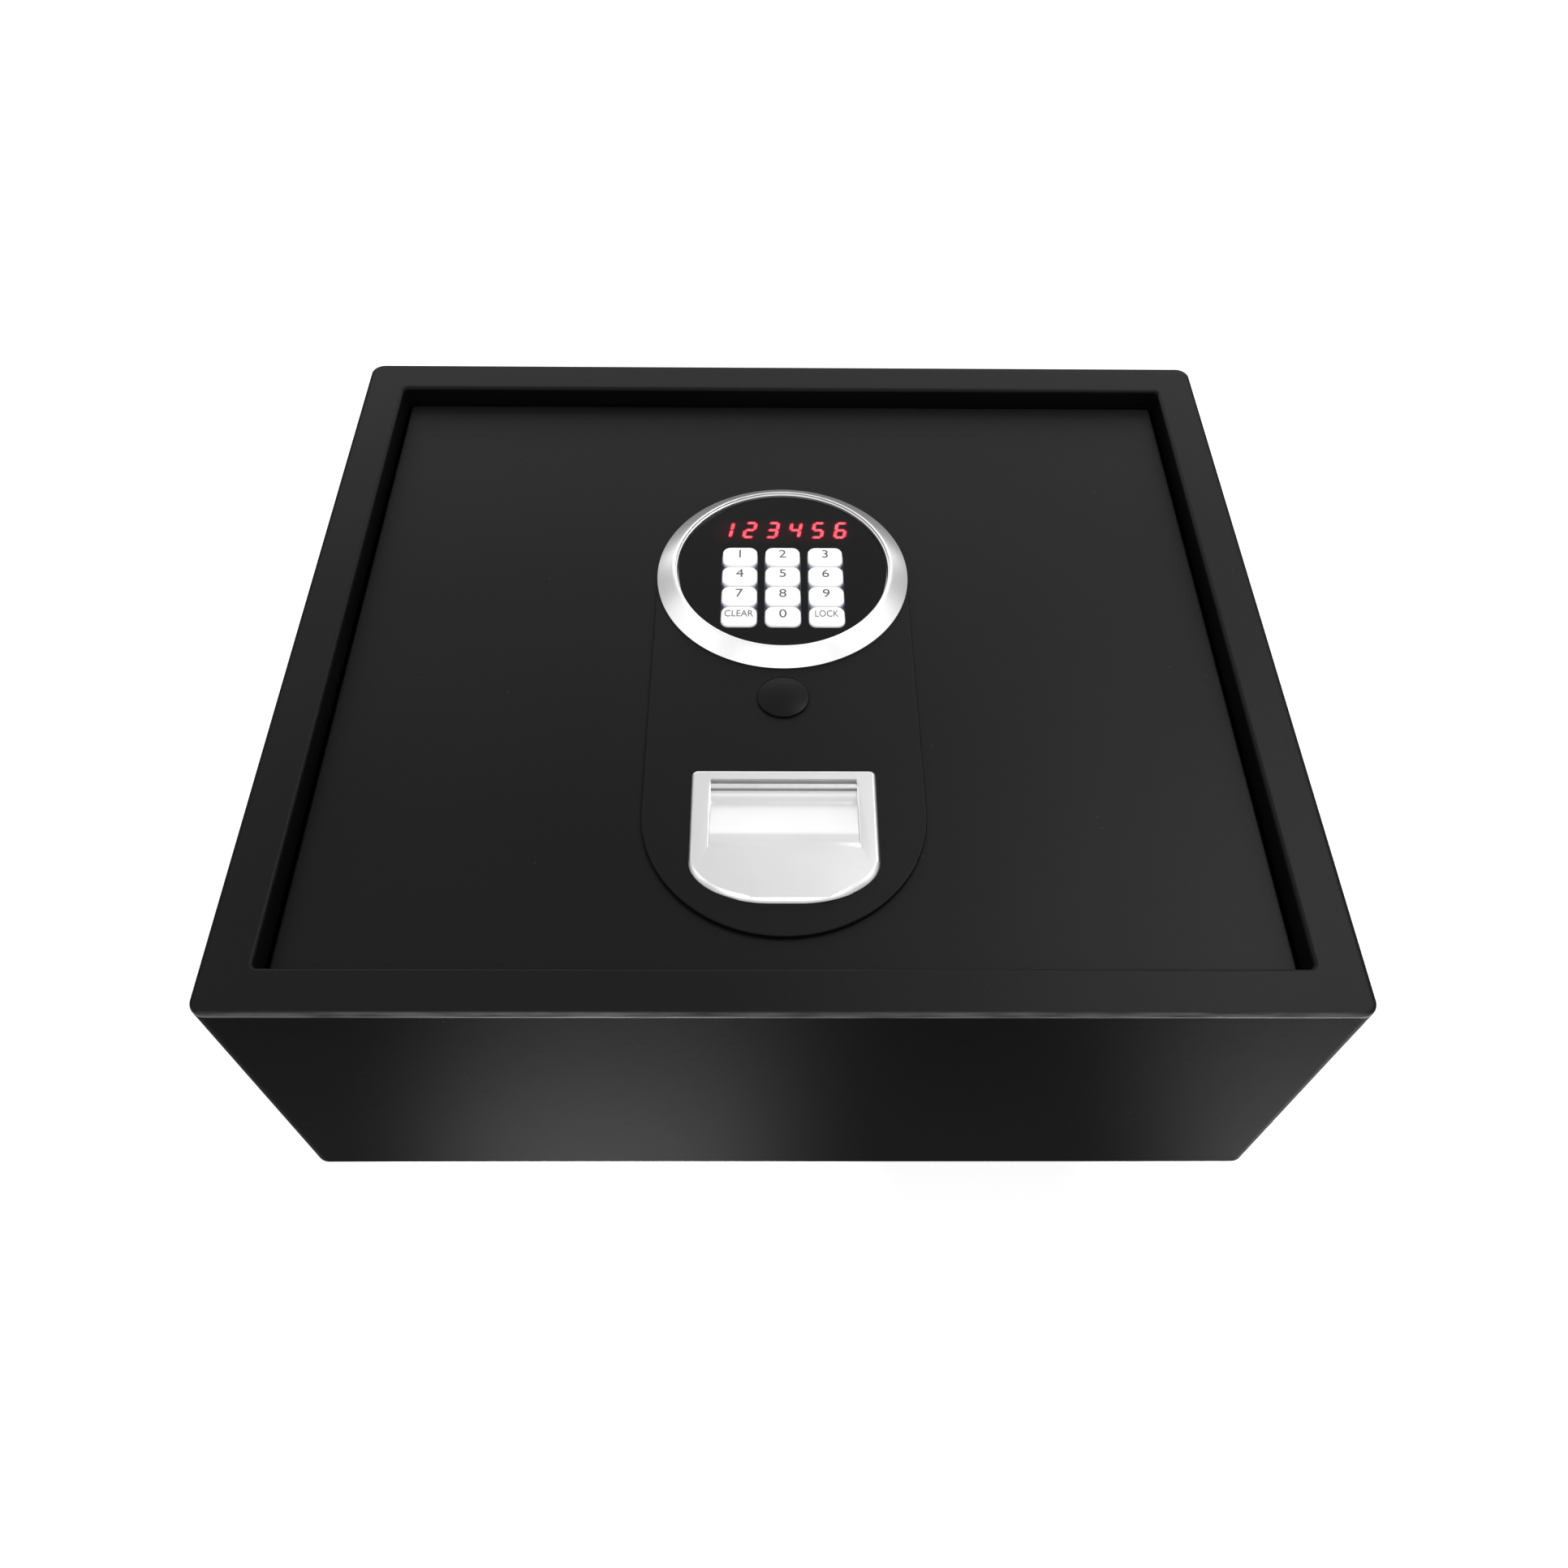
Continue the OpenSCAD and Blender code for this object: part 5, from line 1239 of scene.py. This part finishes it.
def screwMesh(shank, length, head, headHeight, threadPitch):
    # a pan head screw with a six sided socket; its seat is at the origin and it points up
    tip, taper = (share * shank for share in screwShape["point"])
    edge, steps = screwShape["edge"], screwShape["domeSteps"]
    z = length - taper
    rings = [circleRing(tip, length), circleRing(shank, z)]
    while z > threadPitch:
        rings.append(circleRing(screwShape["root"] * shank, z - threadPitch / 4))
        rings.append(circleRing(shank, z - threadPitch / 2))
        z -= threadPitch / 2
    rings += [circleRing(shank, screwShape["gap"]), circleRing(head - edge, 0.0), circleRing(head, -edge)]
    side = screwShape["side"]
    for k in range(steps + 1):
        turn = radians(90 * k / steps)
        rings.append(circleRing(head * (1 - screwShape["crown"] * (1 - cos(turn))),
                                -headHeight * (side + (1 - side) * sin(turn))))
    socket = screwShape["socket"] * head
    rim, floor = (-share * headHeight for share in screwShape["floor"])
    rings += [hexRing(socket + screwShape["socketEdge"], -headHeight), hexRing(socket, edge - headHeight),
              hexRing(socket, rim), hexRing(screwShape["floorMiddle"] * socket, floor)]
    points, faces = loft([[(x * mm, y * mm, z * mm) for x, y, z in ring] for ring in rings])
    mesh = tidyMesh(meshFrom("screw", points, faces), 1e-7, outward=True)
    smooth(mesh, 35)
    return mesh


screws = {
    # shank radius, length, head radius, head height and pitch of the thread, mm
    "boss": (1.5, 4.0, 3.8, 2.18, 0.5), "tab": (1.5, 5.5, 2.85, 1.95, 0.5),
    "lock": (1.5, 5.0, 2.85, 1.95, 0.5), "clamp": (1.5, 3.6, 2.85, 1.95, 0.5),
    "board": (1.5, 3.8, 2.85, 1.95, 0.5), "cover": (2.0, 3.6, 3.8, 2.6, 0.5),
    "bolt": (3.0, 15.0, 5.2, 3.3, 0.8),
}
screwPlaces = {
    "depths": {"boss": 0.02, "tab": 3.02, "lock": 2.52, "clamp": 4.02},      # seats under the lid plate
    "pullBosses": (18.0, 9.5), "tabRing": 46.7, "tabs": (0, 90, 180), "lockHalf": 12.2, "clampX": 3.5,
    "clampHalf": 10.6, "boardHalf": (28.5, 24.0), "boardTop": 120.22,
    "coverInset": 3.8, "coverMiddle": 103.8,
}
upward, downward, alongFront = (0, 0, 0), (pi, 0, 0), (pi / 2, 0, 0)


def placeScrews(name, spots, facing, finish):
    copies = [(spot, facing, (1, 1, 1)) for spot in spots]
    return setOut(name + "Screws", copies, screwMesh(*screws[name]), finish)


def makeScrews():
    steel, dark = finishes["bright_steel"], finishes["dark_steel"]
    at = screwPlaces
    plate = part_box("lid_plate")[0].z
    seat = {name: plate - depth * mm for name, depth in at["depths"].items()}
    keypad, lock, clamp, case = (centreOf(node) for node in (
        "bezel_ring", "override_core", "motor_clamp", "battery_case"))
    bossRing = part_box("bezel_ring")[1].x - keypad.x - bezel["bossInset"] * mm
    bosses = [(*polar(keypad, bossRing, angle), seat["boss"]) for angle in bezel["bosses"]]
    bossX, bossY = (size * mm for size in at["pullBosses"])
    bosses += [(x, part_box("finger_pull")[0].y + bossY, seat["boss"]) for x in (-bossX, bossX)]
    tabs = [(*polar(keypad, at["tabRing"] * mm, angle), seat["tab"]) for angle in at["tabs"]]
    locks = [(side * at["lockHalf"] * mm, lock.y, seat["lock"]) for side in (-1, 1)]
    clamps = [(at["clampX"] * mm, clamp.y + side * at["clampHalf"] * mm, seat["clamp"]) for side in (-1, 1)]
    halfX, halfY = (size * mm for size in at["boardHalf"])
    boards = [(x, case.y + y, at["boardTop"] * mm) for x in (-halfX, halfX) for y in (-halfY, halfY)]
    groups = [placeScrews(name, spots, upward, steel) for name, spots in (
        ("boss", bosses), ("tab", tabs), ("lock", locks), ("clamp", clamps))]
    groups.append(placeScrews("board", boards, downward, steel))
    settle(addPiece("machineScrews", joinMeshes("machineScrews", groups), steel), "machine_screws")
    low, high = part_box("cover_screws")
    inset = at["coverInset"] * mm
    rows = (low.y + inset, low.y + at["coverMiddle"] * mm, high.y - inset)
    covers = [(side * (high.x - inset), y, low.z + screws["cover"][3] * mm) for side in (-1, 1) for y in rows]
    settle(addPiece("coverScrews", placeScrews("cover", covers, upward, dark), dark), "cover_screws")
    low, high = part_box("bolt_screws")
    headRadius, headHeight = (size * mm for size in screws["bolt"][2:4])
    bolts = [(side * (high.x - headRadius), high.y - headHeight, (low.z + high.z) / 2) for side in (-1, 1)]
    settle(addPiece("boltScrews", placeScrews("bolt", bolts, alongFront, dark), dark), "bolt_screws")


makeScrews()
print("lock works dressed")


# Floor

def makeFloor():
    half = studio["floorSize"] / 2
    corners = [(-half, -half, 0), (half, -half, 0), (half, half, 0), (-half, half, 0)]
    mesh = meshFrom("studioFloor", corners, [(0, 1, 2, 3)])
    paper = Finish("studioPaper", studio["floorColour"], 0.85, **{
        "Specular IOR Level": 0.1, "Emission Color": (1.0, 1.0, 1.0),
        "Emission Strength": studio["floorGlow"]})
    grain = paper.noise(400, 2)
    paper.set("Roughness", 0.8 + 0.1 * grain)
    addPiece("studioFloor", mesh, paper.material)


makeFloor()

print("pieces ready")
